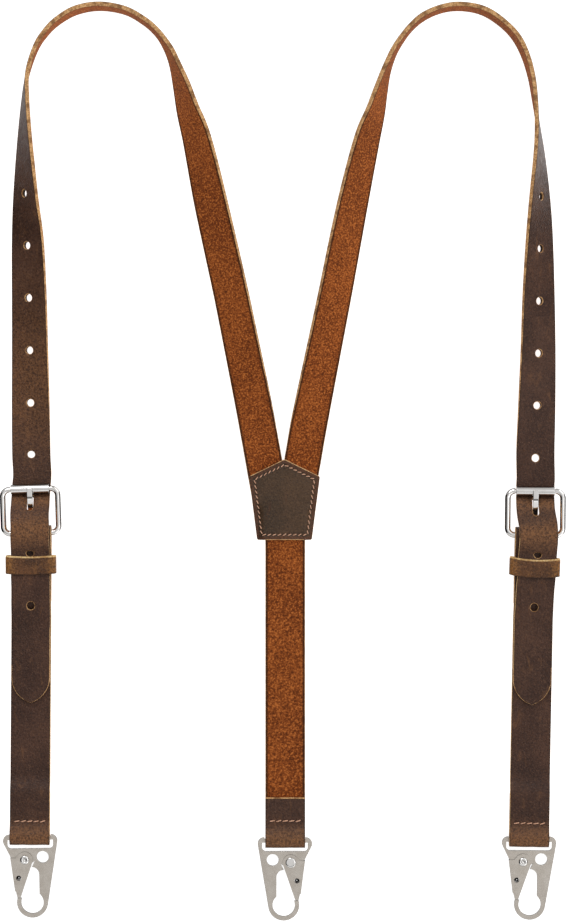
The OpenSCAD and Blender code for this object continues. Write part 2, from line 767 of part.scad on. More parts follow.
module left_hook_plate() { at_hook(LEFT) hook_plate(); }
module left_hook_gate() { at_hook(LEFT) hook_gate(); }
module left_hook_rivet() { at_hook(LEFT) hook_rivet(); }
module left_hook_spring() { at_hook(LEFT) hook_spring(); }
module right_hook_plate() { at_hook(RIGHT) hook_plate(); }
module right_hook_gate() { at_hook(RIGHT) hook_gate(); }
module right_hook_rivet() { at_hook(RIGHT) hook_rivet(); }
module right_hook_spring() { at_hook(RIGHT) hook_spring(); }
module back_hook_plate() { at_hook(BACK) hook_plate(); }
module back_hook_gate() { at_hook(BACK) hook_gate(); }
module back_hook_rivet() { at_hook(BACK) hook_rivet(); }
module back_hook_spring() { at_hook(BACK) hook_spring(); }

left_shoulder_strap();
right_shoulder_strap();
left_front_strap();
right_front_strap();
back_strap();
inner_patch();
outer_patch();
patch_stitching();
left_fold_stitching();
right_fold_stitching();
back_fold_stitching();
left_buckle_stitching();
right_buckle_stitching();
left_buckle_frame();
left_buckle_prong();
left_buckle_roller();
left_keeper();
right_buckle_frame();
right_buckle_prong();
right_buckle_roller();
right_keeper();
left_hook_plate();
left_hook_gate();
left_hook_rivet();
left_hook_spring();
right_hook_plate();
right_hook_gate();
right_hook_rivet();
right_hook_spring();
back_hook_plate();
back_hook_gate();
back_hook_rivet();
back_hook_spring();
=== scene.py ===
import math

import bmesh
import bpy
import numpy as np
from mathutils import Matrix, Vector, noise


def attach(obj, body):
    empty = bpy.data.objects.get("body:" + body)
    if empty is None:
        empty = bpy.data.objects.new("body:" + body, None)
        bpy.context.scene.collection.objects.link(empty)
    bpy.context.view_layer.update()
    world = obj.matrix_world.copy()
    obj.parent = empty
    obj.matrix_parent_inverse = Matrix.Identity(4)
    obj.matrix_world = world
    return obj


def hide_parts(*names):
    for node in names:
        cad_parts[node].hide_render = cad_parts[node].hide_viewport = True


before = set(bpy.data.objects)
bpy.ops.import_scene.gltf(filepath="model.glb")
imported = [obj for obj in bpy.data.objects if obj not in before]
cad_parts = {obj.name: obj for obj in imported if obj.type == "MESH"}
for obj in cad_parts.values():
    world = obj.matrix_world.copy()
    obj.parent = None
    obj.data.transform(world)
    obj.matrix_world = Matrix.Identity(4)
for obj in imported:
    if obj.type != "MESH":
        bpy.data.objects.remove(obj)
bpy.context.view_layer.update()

# ---- Sizes, most of them shared with the CAD, in metres and degrees ----

MID = (0.00078, 0.00253)          # brings the middle of the outline over the origin
LEATHER = 0.0028
SHOULDER_W = 0.025
SHOULDER_END_W = 0.024
STRAP_W = 0.026
FRONT_LEN = 0.1993
TIP_LEN = 0.0168
HOLE_R = 0.00245
HOLE_COUNT = 9
HOLE_PITCH = 0.0342
FIRST_HOLE = 0.0642
PRONG_HOLE = 2
SLOT_PULL = 0.0039                # a little longer and narrower than the slot in the CAD
SLOT_R = 0.00205
BUTT_GAP = 0.00025
SLOT_HALF = 0.0024                # the prong's slot in a front strap
SLOT_BACK = 0.007
SLOT_FRONT = 0.010
SLOT_SPARE = 0.004
ROUND_R = 0.00035                 # rounding of the leather's borders
STEP = 0.0016                     # between the cross sections of a strap

LEFT, RIGHT = "left", "right"
HEEL_AT = {LEFT: (-0.165, -0.0476), RIGHT: (0.164, -0.049)}
STRAP_LEAN = {LEFT: -0.35, RIGHT: -1.1}
BUCKLE_Z = 0.0064
LOW_MID = 0.0014
TOP_MID = 0.0043
HOOK_Z = 0.00475
HOOK_MID_R = 0.00335
HOOK_DROOP = 4.0846
HOOK_LEAN = {LEFT: 0.8, RIGHT: -0.4, "back": 0}
HOOK_SLIDE = {LEFT: 0.0003, RIGHT: 0}
PIVOT_AT = (-0.0038, -0.0143)
HEEL_MID_R = 0.0038
PRONG_AT = 0.019
RISE_SLACK = 0.0025
TONGUE_SWAY = {LEFT: -0.0006, RIGHT: 0.002}
PRONG_SHIFT = {LEFT: -0.00075, RIGHT: -0.0002}
PRONG_SHIFT_SHARE = [(0.004, 0), (0.014, 1), (0.027, 1), (0.039, 0)]
HEEL_SEAM = 0.038
HOOK_SEAM = 0.0109
BACK_SEAM = 0.013
HOOK_FOLD_LEN = 0.030
BACK_FOLD_LEN = 0.0282

KEEPER_W = 0.033
KEEPER_LEN = 0.012
KEEPER_T = 0.0016
KEEPER_LOW = 0.003
KEEPER_HIGH = 0.0127
KEEPER_MID_Y = -0.0204
KEEPER_TILT = {LEFT: 0.8, RIGHT: -1.2}
KEEPER_ROUND = 0.0027
KEEPER_BOW = {LEFT: 0.0009, RIGHT: 0.0016}
KEEPER_SKIVE = 0.0011             # length of its pale, thinned edge towards the buckle
KEEPER_CROWN = 0.00022
KEEPER_WAVE = 0.00025

BACK_HOOK_AT = (0.0006, -0.2488)
BACK_X = 0.0008
PATCH_X = 0.0003
PATCH_T = 0.0018
PATCH_CORNERS = [
    (0, 0.0006), (0.0232, -0.0107), (0.0179, -0.0522), (-0.0179, -0.0522), (-0.0232, -0.0107),
]
PATCH_MIDDLE = (0, -0.028)
INNER_PATCH_Z = 0.0048
SEAM_INSET = 0.0034
SEAM_GROOVE = 0.00022             # how far the seam is drawn into the patch
NEEDLE_DIMPLE = 0.0004            # and each needle hole
STITCH_LEN = 0.0034
PATCH_STITCH_LEN = 0.0024
THREAD_D = 0.0008
PLY_R = 0.00026
PLY_TWIST = 5.2                   # radians, each way from the middle of a stitch
STITCH_ARCH = 0.0005
STITCH_DIVE = 0.0002
SEAM_HALF = 0.0106
PATCH_CORNER = 0.0011             # rounding of its corners
PATCH_ROUND = 0.0004              # rounding of its border

# Underside of a tongue near its buckle: distance from the heel bar, height, share of sway
TONGUE_PROFILE = [
    (-0.078, 0.0029, 0), (-0.066, 0.0029, 0), (-0.059, 0.0031, 0), (-0.053, 0.0046, 0),
    (-0.047, 0.006, 0.1), (-0.041, 0.0065, 0.2), (-0.036, 0.0069, 0.3), (-0.0315, 0.0078, 0.45),
    (-0.0285, 0.0081, 0.55), (-0.024, 0.0081, 0.6), (-0.018, 0.0081, 0.7),
    (-0.0128, 0.0081, 0.85), (-0.0104, 0.0088, 0.9), (-0.0074, 0.0103, 0.95),
    (-0.004, 0.0116, 1), (0, 0.0121, 1), (0.0044, 0.012, 0.9), (0.0092, 0.0113, 0.7),
    (0.0136, 0.0097, 0.3), (0.0174, 0.00725, 0.05), (0.0206, 0.0046, 0), (0.0236, 0.0021, 0),
    (0.026, 0.0006, 0), (0.0289, 0, 0), (0.033, 0, 0), (0.039, 0, 0),
]
# Base edge of a shoulder strap: x, y, lift, turn in degrees; the right one is mirrored
LEFT_ROUTE = [
    (-0.1779, 0.005, 0, 0), (-0.1777, 0.033, 0, 9), (-0.1772, 0.069, 0, 19),
    (-0.177, 0.105, 0, 25), (-0.1767, 0.143, 0, 34), (-0.1754, 0.17, 0, 49),
    (-0.1732, 0.198, 0, 63), (-0.1714, 0.217, 0, 72), (-0.1693, 0.236, 0, 80),
    (-0.1666, 0.252, 0, 86), (-0.1607, 0.2685, 0, 88), (-0.1539, 0.2784, 0, 89),
    (-0.1462, 0.2854, 0, 90), (-0.1349, 0.2915, 0, 91), (-0.1202, 0.294, 0, 91),
    (-0.1042, 0.2914, 0, 91), (-0.0926, 0.2849, 0, 92), (-0.0852, 0.2784, 0, 93),
    (-0.0806, 0.2718, 0, 95), (-0.077, 0.2638, 0, 99), (-0.0747, 0.2555, 0, 103),
    (-0.0726, 0.2424, 0, 113), (-0.0702, 0.226, 0, 124), (-0.0662, 0.207, 0, 136),
    (-0.0596, 0.1703, 0, 149), (-0.0528, 0.138, 0, 154), (-0.0459, 0.106, 0, 157),
    (-0.0386, 0.069, 0, 162), (-0.0316, 0.033, 0, 172), (-0.0286, 0.017, 0.0004, 179),
    (-0.0263, 0.0045, 0.0018, 180), (-0.0241, -0.008, 0.0019, 180),
    (-0.0206, -0.027, 0.0019, 180),
]
RIGHT_ROUTE = [
    (-0.1769, 0.005, 0, 3), (-0.177, 0.033, 0, 13), (-0.1767, 0.069, 0, 24),
    (-0.1758, 0.106, 0, 33), (-0.1743, 0.143, 0, 45), (-0.1722, 0.17, 0, 57),
    (-0.1686, 0.198, 0, 73), (-0.1654, 0.217, 0, 83), (-0.1622, 0.236, 0, 89),
    (-0.1596, 0.25, 0, 91), (-0.1556, 0.263, 0, 92), (-0.1504, 0.2735, 0, 92),
    (-0.1436, 0.2816, 0, 91), (-0.1337, 0.289, 0, 91), (-0.1244, 0.2927, 0, 91),
    (-0.1126, 0.2939, 0, 91), (-0.1016, 0.292, 0, 91), (-0.0916, 0.2872, 0, 92),
    (-0.0842, 0.281, 0, 92), (-0.0786, 0.2736, 0, 93), (-0.0736, 0.2646, 0, 95),
    (-0.0699, 0.253, 0, 99), (-0.0679, 0.24, 0, 107), (-0.066, 0.225, 0, 117),
    (-0.0626, 0.207, 0, 129), (-0.0558, 0.1703, 0, 140), (-0.05, 0.138, 0, 146),
    (-0.0442, 0.106, 0, 150), (-0.0372, 0.069, 0, 156), (-0.0304, 0.033, 0, 166),
    (-0.0274, 0.017, 0.0004, 176), (-0.0252, 0.0045, 0.0018, 180), (-0.023, -0.008, 0.0019, 180),
    (-0.0195, -0.027, 0.0019, 180),
]
# Heart line of a front strap: distance from the heel bar, height
HEEL_TAIL = [
    (-0.045, 0.0014), (-0.036, 0.0014), (-0.026, 0.0014), (-0.016, 0.0014), (-0.0095, 0.00145),
    (-0.0045, 0.0021), (0, 0.0026),
]
FRONT_RUN = [
    (0, 0.0102), (-0.0034, 0.0099), (-0.0068, 0.0083), (-0.01, 0.0067), (-0.0126, 0.0062),
    (-0.019, 0.0062), (-0.025, 0.0062), (-0.0286, 0.0062), (-0.0324, 0.0052), (-0.036, 0.00445),
    (-0.04, 0.0043), (-0.046, 0.0043), (-0.05, 0.0032), (-0.0545, 0.0017), (-0.06, 0.0014),
    (-0.075, 0.0014), (-0.11, 0.0014), (-0.1493, 0.0014), (-0.1583, 0.0014), (-0.1628, 0.0022),
    (-0.1663, 0.0036), (-0.1703, 0.0043), (-0.1793, 0.0043), (-0.1873, 0.0043),
]
HOOK_RISE = [(0.009, 0.0045), (0.006, 0.0058), (0.003, 0.0076), (0, HOOK_Z + HOOK_MID_R)]
BACK_RUN = [
    (-0.0285, 0.0033), (-0.038, 0.0033), (-0.048, 0.0033), (-0.054, 0.0033),
    (-0.058, 0.0027), (-0.063, 0.0016), (-0.069, 0.0014), (-0.084, 0.0014), (-0.12, 0.0014),
    (-0.18, 0.0014), (-0.2248, 0.0014), (-0.2408, 0.0014), (-0.2488, 0.0014),
]


# ---- Curves ----

def curve_point(points, i, t):
    """A point on the smooth curve through the points, a fraction t of the way from i to i + 1."""
    last = len(points) - 1
    a, b, c, d = (points[max(0, min(last, k))] for k in (i - 1, i, i + 1, i + 2))
    return 0.5 * (2 * b + (c - a) * t + (2 * a - 5 * b + 4 * c - d) * t * t
                  + (3 * b - a - 3 * c + d) * t ** 3)


def smooth(points, steps):
    points = np.array(points, dtype=float)
    out = [curve_point(points, i, j / steps)
           for i in range(len(points) - 1) for j in range(steps)]
    return np.array(out + [points[-1]])


def arc(centre, radius, start, end, steps):
    angles = np.radians(np.linspace(start, end, steps + 1))
    return np.stack([centre[0] + radius * np.cos(angles),
                     centre[1] + radius * np.sin(angles)], axis=1)


def grounded(line):
    line = np.array(line)
    line[:, 1] = np.maximum(line[:, 1], LOW_MID)
    return line


def turned(x, y, angle):
    c, s = math.cos(math.radians(angle)), math.sin(math.radians(angle))
    return x * c - y * s, x * s + y * c


def on_side(side):
    """Moves a point from a buckle's own place, its heel bar at the origin."""
    def move(v):
        x, y = turned(v[0], v[1], STRAP_LEAN[side])
        return x + HEEL_AT[side][0] + MID[0], y + HEEL_AT[side][1] + MID[1], v[2]
    return move


def moved(dx):
    return lambda v: (v[0] + dx + MID[0], v[1] + MID[1], v[2])


def unit(v):
    return v / np.linalg.norm(v, axis=-1, keepdims=True)


def run_lengths(points):
    return np.concatenate([[0], np.cumsum(np.linalg.norm(np.diff(points, axis=0), axis=1))])


def soft_step(x, low, high):
    t = np.clip((np.asarray(x, dtype=float) - low) / (high - low), 0, 1)
    return t * t * (3 - 2 * t)


# ---- Where a strip of leather lies: from (along, across, depth) to a point ----

class ShoulderPath:
    """A shoulder strap, from its tongue's tip to the patch. Depth 0 is flesh, LEATHER is grain."""

    def __init__(self, side):
        self.sense = 1 if side == LEFT else -1
        heel = (self.sense * HEEL_AT[side][0], HEEL_AT[side][1])
        tip_y = PRONG_AT - FIRST_HOLE - PRONG_HOLE * HOLE_PITCH + RISE_SLACK
        under = TOP_MID - LOW_MID
        stations = []
        for y, z, sway in [(tip_y, under, 0), (tip_y + 0.014, under, 0)] + TONGUE_PROFILE:
            share = np.interp(y, *zip(*PRONG_SHIFT_SHARE))
            swing = sway * TONGUE_SWAY[side] + share * PRONG_SHIFT[side]
            x = self.sense * swing - SHOULDER_W / 2
            dx, dy = turned(x, y, self.sense * STRAP_LEAN[side])
            stations.append((heel[0] + dx, heel[1] + dy, z, 0))
        stations += LEFT_ROUTE if side == LEFT else RIGHT_ROUTE
        points = smooth(stations, 12)
        turn = np.clip(points[:, 3], 0, 180)
        points[:, 2] = (np.maximum(points[:, 2], 0)
                        + np.maximum(0, -LEATHER * np.cos(np.radians(turn))))
        self.points, self.turn = points[:, :3], turn
        self.s = run_lengths(self.points)
        self.length = self.s[-1]
        self.crest = -tip_y

    def base(self, s):
        return np.stack([np.interp(s, self.s, self.points[:, k]) for k in range(3)], axis=-1)

    def axes(self, s):
        turn = np.radians(np.interp(s, self.s, self.turn))[..., None]
        along = unit(self.base(s + 0.0012) - self.base(s - 0.0012))
        side = unit(np.cross(along, [0, 0, 1]))
        up = np.cross(side, along)
        return (np.cos(turn) * side + np.sin(turn) * up, along,
                np.cos(turn) * up - np.sin(turn) * side)

    def span(self, s):
        turn = np.interp(s, self.s, self.turn)
        width = SHOULDER_W + (SHOULDER_END_W - SHOULDER_W) * turn / 180
        across = self.axes(s)[0][..., 0]
        to_centre = (-BUTT_GAP - self.base(s)[..., 0]) / np.maximum(0.01, across)
        r = (TIP_LEN ** 2 + SHOULDER_W ** 2 / 4) / SHOULDER_W
        back = np.clip(TIP_LEN - s, 0, TIP_LEN)
        half = np.maximum(0.0004, np.sqrt(r * r - back ** 2) - r + SHOULDER_W / 2)
        low = np.where(s < TIP_LEN, width / 2 - half, 0)
        high = np.where(s < TIP_LEN, width / 2 + half, np.minimum(width, to_centre))
        return low, high

    def at(self, s, u, v):
        across, _, out = self.axes(s)
        p = self.base(s) + across * u[..., None] + out * v[..., None]
        return p * [self.sense, 1, 1] + [MID[0], MID[1], 0]

    flipped = property(lambda self: self.sense < 0)


class FoldedPath:
    """A strap that follows a heart line in its own YZ plane; grain is on the given side."""

    def __init__(self, line, place, lean, grain_left):
        self.line, self.place, self.lean = np.array(line), place, lean
        self.s = run_lengths(self.line)
        self.length = self.s[-1]
        self.grain_left = grain_left
        self.flipped = grain_left

    def heart(self, s):
        return np.stack([np.interp(s, self.s, self.line[:, k]) for k in range(2)], axis=-1)

    def out(self, s):
        d = unit(self.heart(s + 0.0005) - self.heart(s - 0.0005))
        n = np.stack([-d[..., 1], d[..., 0]], axis=-1)
        return n if self.grain_left else -n

    def span(self, s):
        return np.zeros_like(s), np.full_like(s, STRAP_W)

    def at(self, s, u, v):
        p = self.heart(s) + self.out(s) * (v - LEATHER / 2)[..., None]
        x, y = turned(u - STRAP_W / 2, p[..., 0], self.lean)
        return np.stack([x + self.place[0] + MID[0], y + self.place[1] + MID[1], p[..., 1]], -1)

    def along(self, y, z_near):
        """The distance along the strap of the point at y whose height is nearest z_near."""
        score = np.abs(self.line[:, 0] - y) + 2 * np.abs(self.line[:, 1] - z_near)
        return float(self.s[int(np.argmin(score))])


def front_path(side):
    run = [*FRONT_RUN, *[(y - FRONT_LEN, z) for y, z in HOOK_RISE]]
    line = np.concatenate([
        grounded(smooth(HEEL_TAIL, 6)),
        arc((0, BUCKLE_Z), HEEL_MID_R, -75, 75, 18),
        grounded(smooth(run, 6)),
        arc((-FRONT_LEN, HOOK_Z), HOOK_MID_R, 105, 255, 18),
        [(y - FRONT_LEN, LOW_MID) for y in np.arange(0, HOOK_FOLD_LEN + 0.001, 0.006)],
    ])
    return FoldedPath(line, HEEL_AT[side], STRAP_LEAN[side], False)


def back_path():
    bar_y = BACK_HOOK_AT[1]
    rise = [(bar_y + y, z) for y, z in HOOK_RISE[::-1]]
    end = [(bar_y + 0.012, TOP_MID), (bar_y + 0.02, TOP_MID), (bar_y + BACK_FOLD_LEN, TOP_MID)]
    line = np.concatenate([
        grounded(smooth(BACK_RUN, 6)),
        arc((bar_y, HOOK_Z), HOOK_MID_R, 255, 105, 18),
        smooth(rise + end, 6),
    ])
    return FoldedPath(line, (BACK_X, 0), 0, True)


# ---- Meshes ----

GRAIN, FLESH, EDGE = 0, 1, 2
UNEVEN = [(0.00010, 0.011), (0.00005, 0.004)]     # swells of the grain: height, size
CREASE_SIZE = (0.0011, 0.006)     # along and across the strap
HOLE_SINK = 0.00012               # how far the grain sinks round a punched hole
BLOCK = 6                         # cells across the square that a punched hole sits in
BLOCK_HALF = 0.0042
# Wall of a punched hole, downwards: share of its radius, share of the leather, darkness of the
# painted shade on it
HOLE_WALL = [(1.45, 1.0, 0.0), (1.17, 0.975, 0.0), (1.04, 0.9, 0.15), (1.0, 0.72, 0.8),
             (1.0, 0.3, 1.0), (1.06, 0.04, 1.0), (1.45, 0.0, 0.0)]


def scene_object(name, data):
    obj = bpy.data.objects.new(name, data)
    bpy.context.scene.collection.objects.link(obj)
    return obj


def new_object(name, verts, faces, kinds, materials, floats=None, merge=1e-7):
    """A smooth mesh facing outwards, with points closer than merge made one."""
    mesh = bpy.data.meshes.new(name)
    mesh.from_pydata([tuple(v) for v in verts], [], faces)
    for material in materials:
        mesh.materials.append(material)
    if kinds is not None:
        mesh.polygons.foreach_set("material_index", kinds)
    for key, values in (floats or {}).items():
        attribute = mesh.attributes.new(key, "FLOAT", "POINT")
        attribute.data.foreach_set("value", np.asarray(values, dtype=np.float32))
    mesh.polygons.foreach_set("use_smooth", [True] * len(mesh.polygons))
    mesh.validate()
    mesh.update()
    bm = bmesh.new()
    bm.from_mesh(mesh)
    bmesh.ops.delete(bm, geom=[v for v in bm.verts if not v.link_faces], context="VERTS")
    bmesh.ops.remove_doubles(bm, verts=bm.verts, dist=merge)
    bmesh.ops.recalc_face_normals(bm, faces=bm.faces)
    bm.to_mesh(mesh)
    bm.free()
    return scene_object(name, mesh)


def finish_piece(obj, body, node):
    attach(obj, body)
    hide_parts(node)


def bands(starts, count):
    """Faces between rings of count points, whose first points are at starts."""
    return [(a + k, a + (k + 1) % count, b + (k + 1) % count, b + k)
            for a, b in zip(starts[:-1], starts[1:]) for k in range(count)]


def bell(distance, spread):
    return np.exp(-(distance / spread) ** 2)


def hills(points, scale, seed):
    """Smooth noise at each point, -1 to 1, with features of about the given size."""
    offset = Vector((seed * 7.3, seed * 3.1, seed * 5.7))
    return np.array([noise.noise(Vector(p) / scale + offset) for p in points])


def station_row(length, holes, marks):
    """Distances along a strip: even steps, with exact ones at its holes and marks."""
    blocks = [(h - BLOCK_HALF - pull, h + BLOCK_HALF + pull) for h, pull in holes]
    edges = sorted([ROUND_R, length - ROUND_R, *marks, *[e for b in blocks for e in b]])
    row = []
    for a, b in zip(edges[:-1], edges[1:]):
        if b - a < 1e-6:
            continue
        inside = any(abs(a - lo) < 1e-9 and abs(b - hi) < 1e-9 for lo, hi in blocks)
        count = BLOCK if inside else max(1, round((b - a) / STEP))
        row += [a + (b - a) * k / count for k in range(count)]
    row.append(edges[-1])
    return np.array(row)


def leather_strip(name, path, seed, creases, holes=(), slot=None, tip_round=0.0,
                  bare_end=0.0, bare_sides=(), rubs_and_painted_light=()):
    """A strip of leather with rounded edges, punched holes and a slot, along a path.

    holes are (distance along, how far it is drawn out), slot is (start, end, half width),
    creases are (distance along, spread, depth), bare_sides are (side, from, to): where the
    cut edge is left open and shows as a pale line, and patches of painted light that lighten
    the grain are (distance along, spread, amount)."""
    r, t = ROUND_R, LEATHER
    marks = list(slot[:2]) if slot else []
    if bare_end:
        marks.append(path.length - bare_end)
    row = station_row(path.length, holes, marks)
    ends = [0.0, r * 0.3]
    stations = np.concatenate([ends, row, [path.length - e for e in ends[::-1]]])
    inset = np.zeros(len(stations))
    inset[:2] = inset[-2:][::-1] = (r, r * 0.3)
    low, high = path.span(stations)
    width = float(np.max(high - low))

    # Lines across the grain face, as fractions of the width, then round the section
    block = [0.5 + BLOCK_HALF * (k / (BLOCK / 2) - 1) / width for k in range(BLOCK + 1)]
    if slot:
        block = [0.5 + slot[2] * k / width for k in (-1, -0.67, -0.33, 0, 0.33, 0.67, 1)]
    side = [0.0, 0.03, 0.08, 0.15, 0.23, (0.23 + block[0]) / 2]
    fractions = side + block + [1 - f for f in side[::-1]]
    if slot:
        fractions = sorted(fractions)
    n = len(fractions)
    k0, k1 = len(side), len(side) + BLOCK

    def border(f, sense, falling):
        """The rounded edge at a fraction of the width, from one face to the other."""
        rounds = [(r * math.sin(a), r * (1 - math.cos(a))) for a in np.radians((30, 60, 90))]
        down = ([(out, t - fall) for out, fall in rounds] + [(r, 0.62 * t), (r, 0.38 * t)]
                + [(out, fall) for out, fall in rounds[::-1]])
        return [(f, sense * out, v, EDGE) for out, v in (down if falling else down[::-1])]

    profile = [(f, 0.0, t, GRAIN) for f in fractions] + border(1.0, 1, True)
    flesh_start = len(profile)
    profile += [(f, 0.0, 0.0, FLESH) for f in fractions[::-1]] + border(0.0, -1, False)
    loop = len(profile)

    s_all, u_all, v_all, shade = [], [], [], []

    def add_point(s, u, v, dark=0.0):
        for values, value in zip((s_all, u_all, v_all, shade), (s, u, v, dark)):
            values.append(value)
        return len(s_all) - 1

    for i, s in enumerate(stations):
        lo, hi, e = low[i] + r, high[i] - r, inset[i]
        if hi - lo < 0.0002:
            mid = (lo + hi) / 2
            lo, hi = mid - 0.0001, mid + 0.0001
        for f, du, v, _ in profile:
            u = lo + f * (hi - lo) + du
            if high[i] - low[i] > 3 * e:
                u = min(max(u, low[i] + e), high[i] - e)
            add_point(s, u, min(max(v, e), t - e))

    def grid(i, j):
        return i * loop + j % loop

    def flesh_line(k):
        return flesh_start + (n - 1 - k)

    def station_at(s):
        return int(np.argmin(np.abs(stations - s)))

    def rim_of(i0, i1):
        return ([(i0, k) for k in range(k0, k1)] + [(i, k1) for i in range(i0, i1)]
                + [(i1, k) for k in range(k1, k0, -1)] + [(i, k0) for i in range(i1, i0, -1)])

    openings = [(station_at(h - BLOCK_HALF - pull), h, pull) for h, pull in holes]
    open_rows = [(i0, i0 + BLOCK) for i0, _, _ in openings]
    if slot:
        open_rows.append(tuple(station_at(m) for m in slot[:2]))
    skipped = {(i, k) for i0, i1 in open_rows for i in range(i0, i1) for k in range(k0, k1)}
    faces, kinds = [], []

    def add(face, kind):
        faces.append(tuple(face))
        kinds.append(kind)

    for i in range(len(stations) - 1):
        for j in range(loop):
            if j < n - 1:
                kind, k = GRAIN, j
            elif flesh_start <= j < flesh_start + n - 1:
                kind, k = FLESH, n - 2 - (j - flesh_start)
            else:
                kind, k = EDGE, None
            if k is not None and (i, k) in skipped:
                continue
            # The corner between the grain and the cut edge is burnished, but not at the ends
            if kind == EDGE and j in (n - 1, n, loop - 2, loop - 1) and stations[i] >= tip_round:
                kind = GRAIN
            if kind == GRAIN and stations[i] > path.length - bare_end - 1e-6:
                kind = EDGE
            add((grid(i, j), grid(i, j + 1), grid(i + 1, j + 1), grid(i + 1, j)), kind)
    last = len(stations) - 1
    for i, order in ((0, 1), (last, -1)):
        for k in range(n - 1):
            face = [grid(i, k), grid(i, flesh_line(k)), grid(i, flesh_line(k + 1)),
                    grid(i, k + 1)]
            add(face[::order], EDGE)
        right = [grid(i, j) for j in range(n - 1, flesh_start + 1)]
        left = [grid(i, j) for j in range(flesh_start + n - 1, loop)] + [grid(i, 0)]
        add(right[::-order], EDGE)
        add(left[::-order], EDGE)

    # Walls of the punched holes
    for i0, h, pull in openings:
        rim = rim_of(i0, i0 + BLOCK)
        u_mid = u_all[grid(i0 + BLOCK // 2, k0 + BLOCK // 2)]
        rings = [[grid(i, k) for i, k in rim]]
        # The wall's darkness is painted shade
        for grow, v, dark in HOLE_WALL:
            ring = []
            for i, k in rim:
                ds = (stations[i] - h) * BLOCK_HALF / (BLOCK_HALF + pull)
                du = u_all[grid(i, k)] - u_mid
                a = math.atan2(du, ds)
                radius = (SLOT_R if pull else HOLE_R) * grow
                ring.append(add_point(
                    h + radius * math.cos(a) + pull * np.sign(round(math.cos(a), 3)),
                    u_mid + radius * math.sin(a), v * t, dark))
            rings.append(ring)
        rings.append([grid(i, flesh_line(k)) for i, k in rim])
        count = len(rim)
        for a, (inner, outer) in enumerate(zip(rings[1:], rings[:-1])):
            kind = GRAIN if a < 2 else FLESH if a >= len(HOLE_WALL) else EDGE
            for m in range(count):
                q = (m + 1) % count
                add((outer[m], outer[q], inner[q], inner[m]), kind)
    if slot:
        rim = rim_of(*open_rows[-1])
        for (ia, ka), (ib, kb) in zip(rim, rim[1:] + rim[:1]):
            add((grid(ia, ka), grid(ib, kb), grid(ib, flesh_line(kb)), grid(ia, flesh_line(ka))),
                EDGE)

    s_all, u_all, v_all = (np.array(x, dtype=float) for x in (s_all, u_all, v_all))
    lo, hi = path.span(s_all)
    margin = np.minimum(u_all - lo, hi - u_all)
    # Shallow unevenness of the grain, creases over the bends and a soft fall at the borders
    flat = np.stack([s_all, u_all, np.zeros_like(s_all)], axis=1)
    depth = v_all / t
    swell = sum(high * hills(flat, size, seed + k) for k, (high, size) in enumerate(UNEVEN))
    wear_and_painted_light = np.zeros_like(s_all)
    for s0, spread, amount in creases:
        near = bell(s_all - s0, spread)
        wave = np.array([noise.noise(Vector((p[0] / CREASE_SIZE[0], p[1] / CREASE_SIZE[1], seed)))
                         for p in flat])
        swell -= amount * near * np.clip(wave + 0.15, 0, 1)
        # Bends lighten the grain by pull-up; over the tongue's crest this is partly a painted
        # highlight
        wear_and_painted_light += near
    # Painted light: lighter patches laid on the grain
    for s0, spread, amount in rubs_and_painted_light:
        wear_and_painted_light += amount * bell(s_all - s0, spread)
    for h, _ in holes:
        d = np.hypot(s_all - h, u_all - (lo + hi) / 2)
        swell -= HOLE_SINK * bell(d - HOLE_R, 0.0008)
    bare = np.zeros_like(s_all)
    for side_at, s0, s1 in bare_sides:
        rim = (hi - u_all if side_at > 0 else u_all - lo) < 0.0002
        bare[rim & (s_all > s0) & (s_all < s1)] = 1.0
    inner = soft_step(margin, 0.0, 0.0006)
    v_all = v_all + np.where(depth > 0.5, swell * inner, 0)
    points = path.at(s_all, u_all, v_all)
    if path.flipped:
        faces = [f[::-1] for f in faces]
    return new_object(name, points, faces, kinds, (GRAIN_BROWN, FLESH_BROWN, CUT_EDGE), {
        "border": margin, "wear_and_painted_light": np.clip(wear_and_painted_light, 0, 1), "shade": shade, "bare": bare})


# ---- Materials ----

class Nodes:
    """Short calls that make and join the nodes of one tree."""

    def __init__(self, owner):
        owner.use_nodes = True
        self.tree = owner.node_tree

    def add(self, kind, **settings):
        node = self.tree.nodes.new(kind)
        for key, value in settings.items():
            setattr(node, key, value)
        return node

    def join(self, value, socket):
        if isinstance(value, bpy.types.NodeSocket):
            self.tree.links.new(value, socket)
        else:
            socket.default_value = value

    def maths(self, operation, a, b):
        node = self.add("ShaderNodeMath", operation=operation)
        self.join(a, node.inputs[0])
        self.join(b, node.inputs[1])
        return node.outputs[0]

    def mix(self, amount, a, b, blend="MIX"):
        node = self.add("ShaderNodeMix", data_type="RGBA", blend_type=blend)
        self.join(amount, node.inputs["Factor"])
        self.join(a, node.inputs["A"])
        self.join(b, node.inputs["B"])
        return node.outputs["Result"]


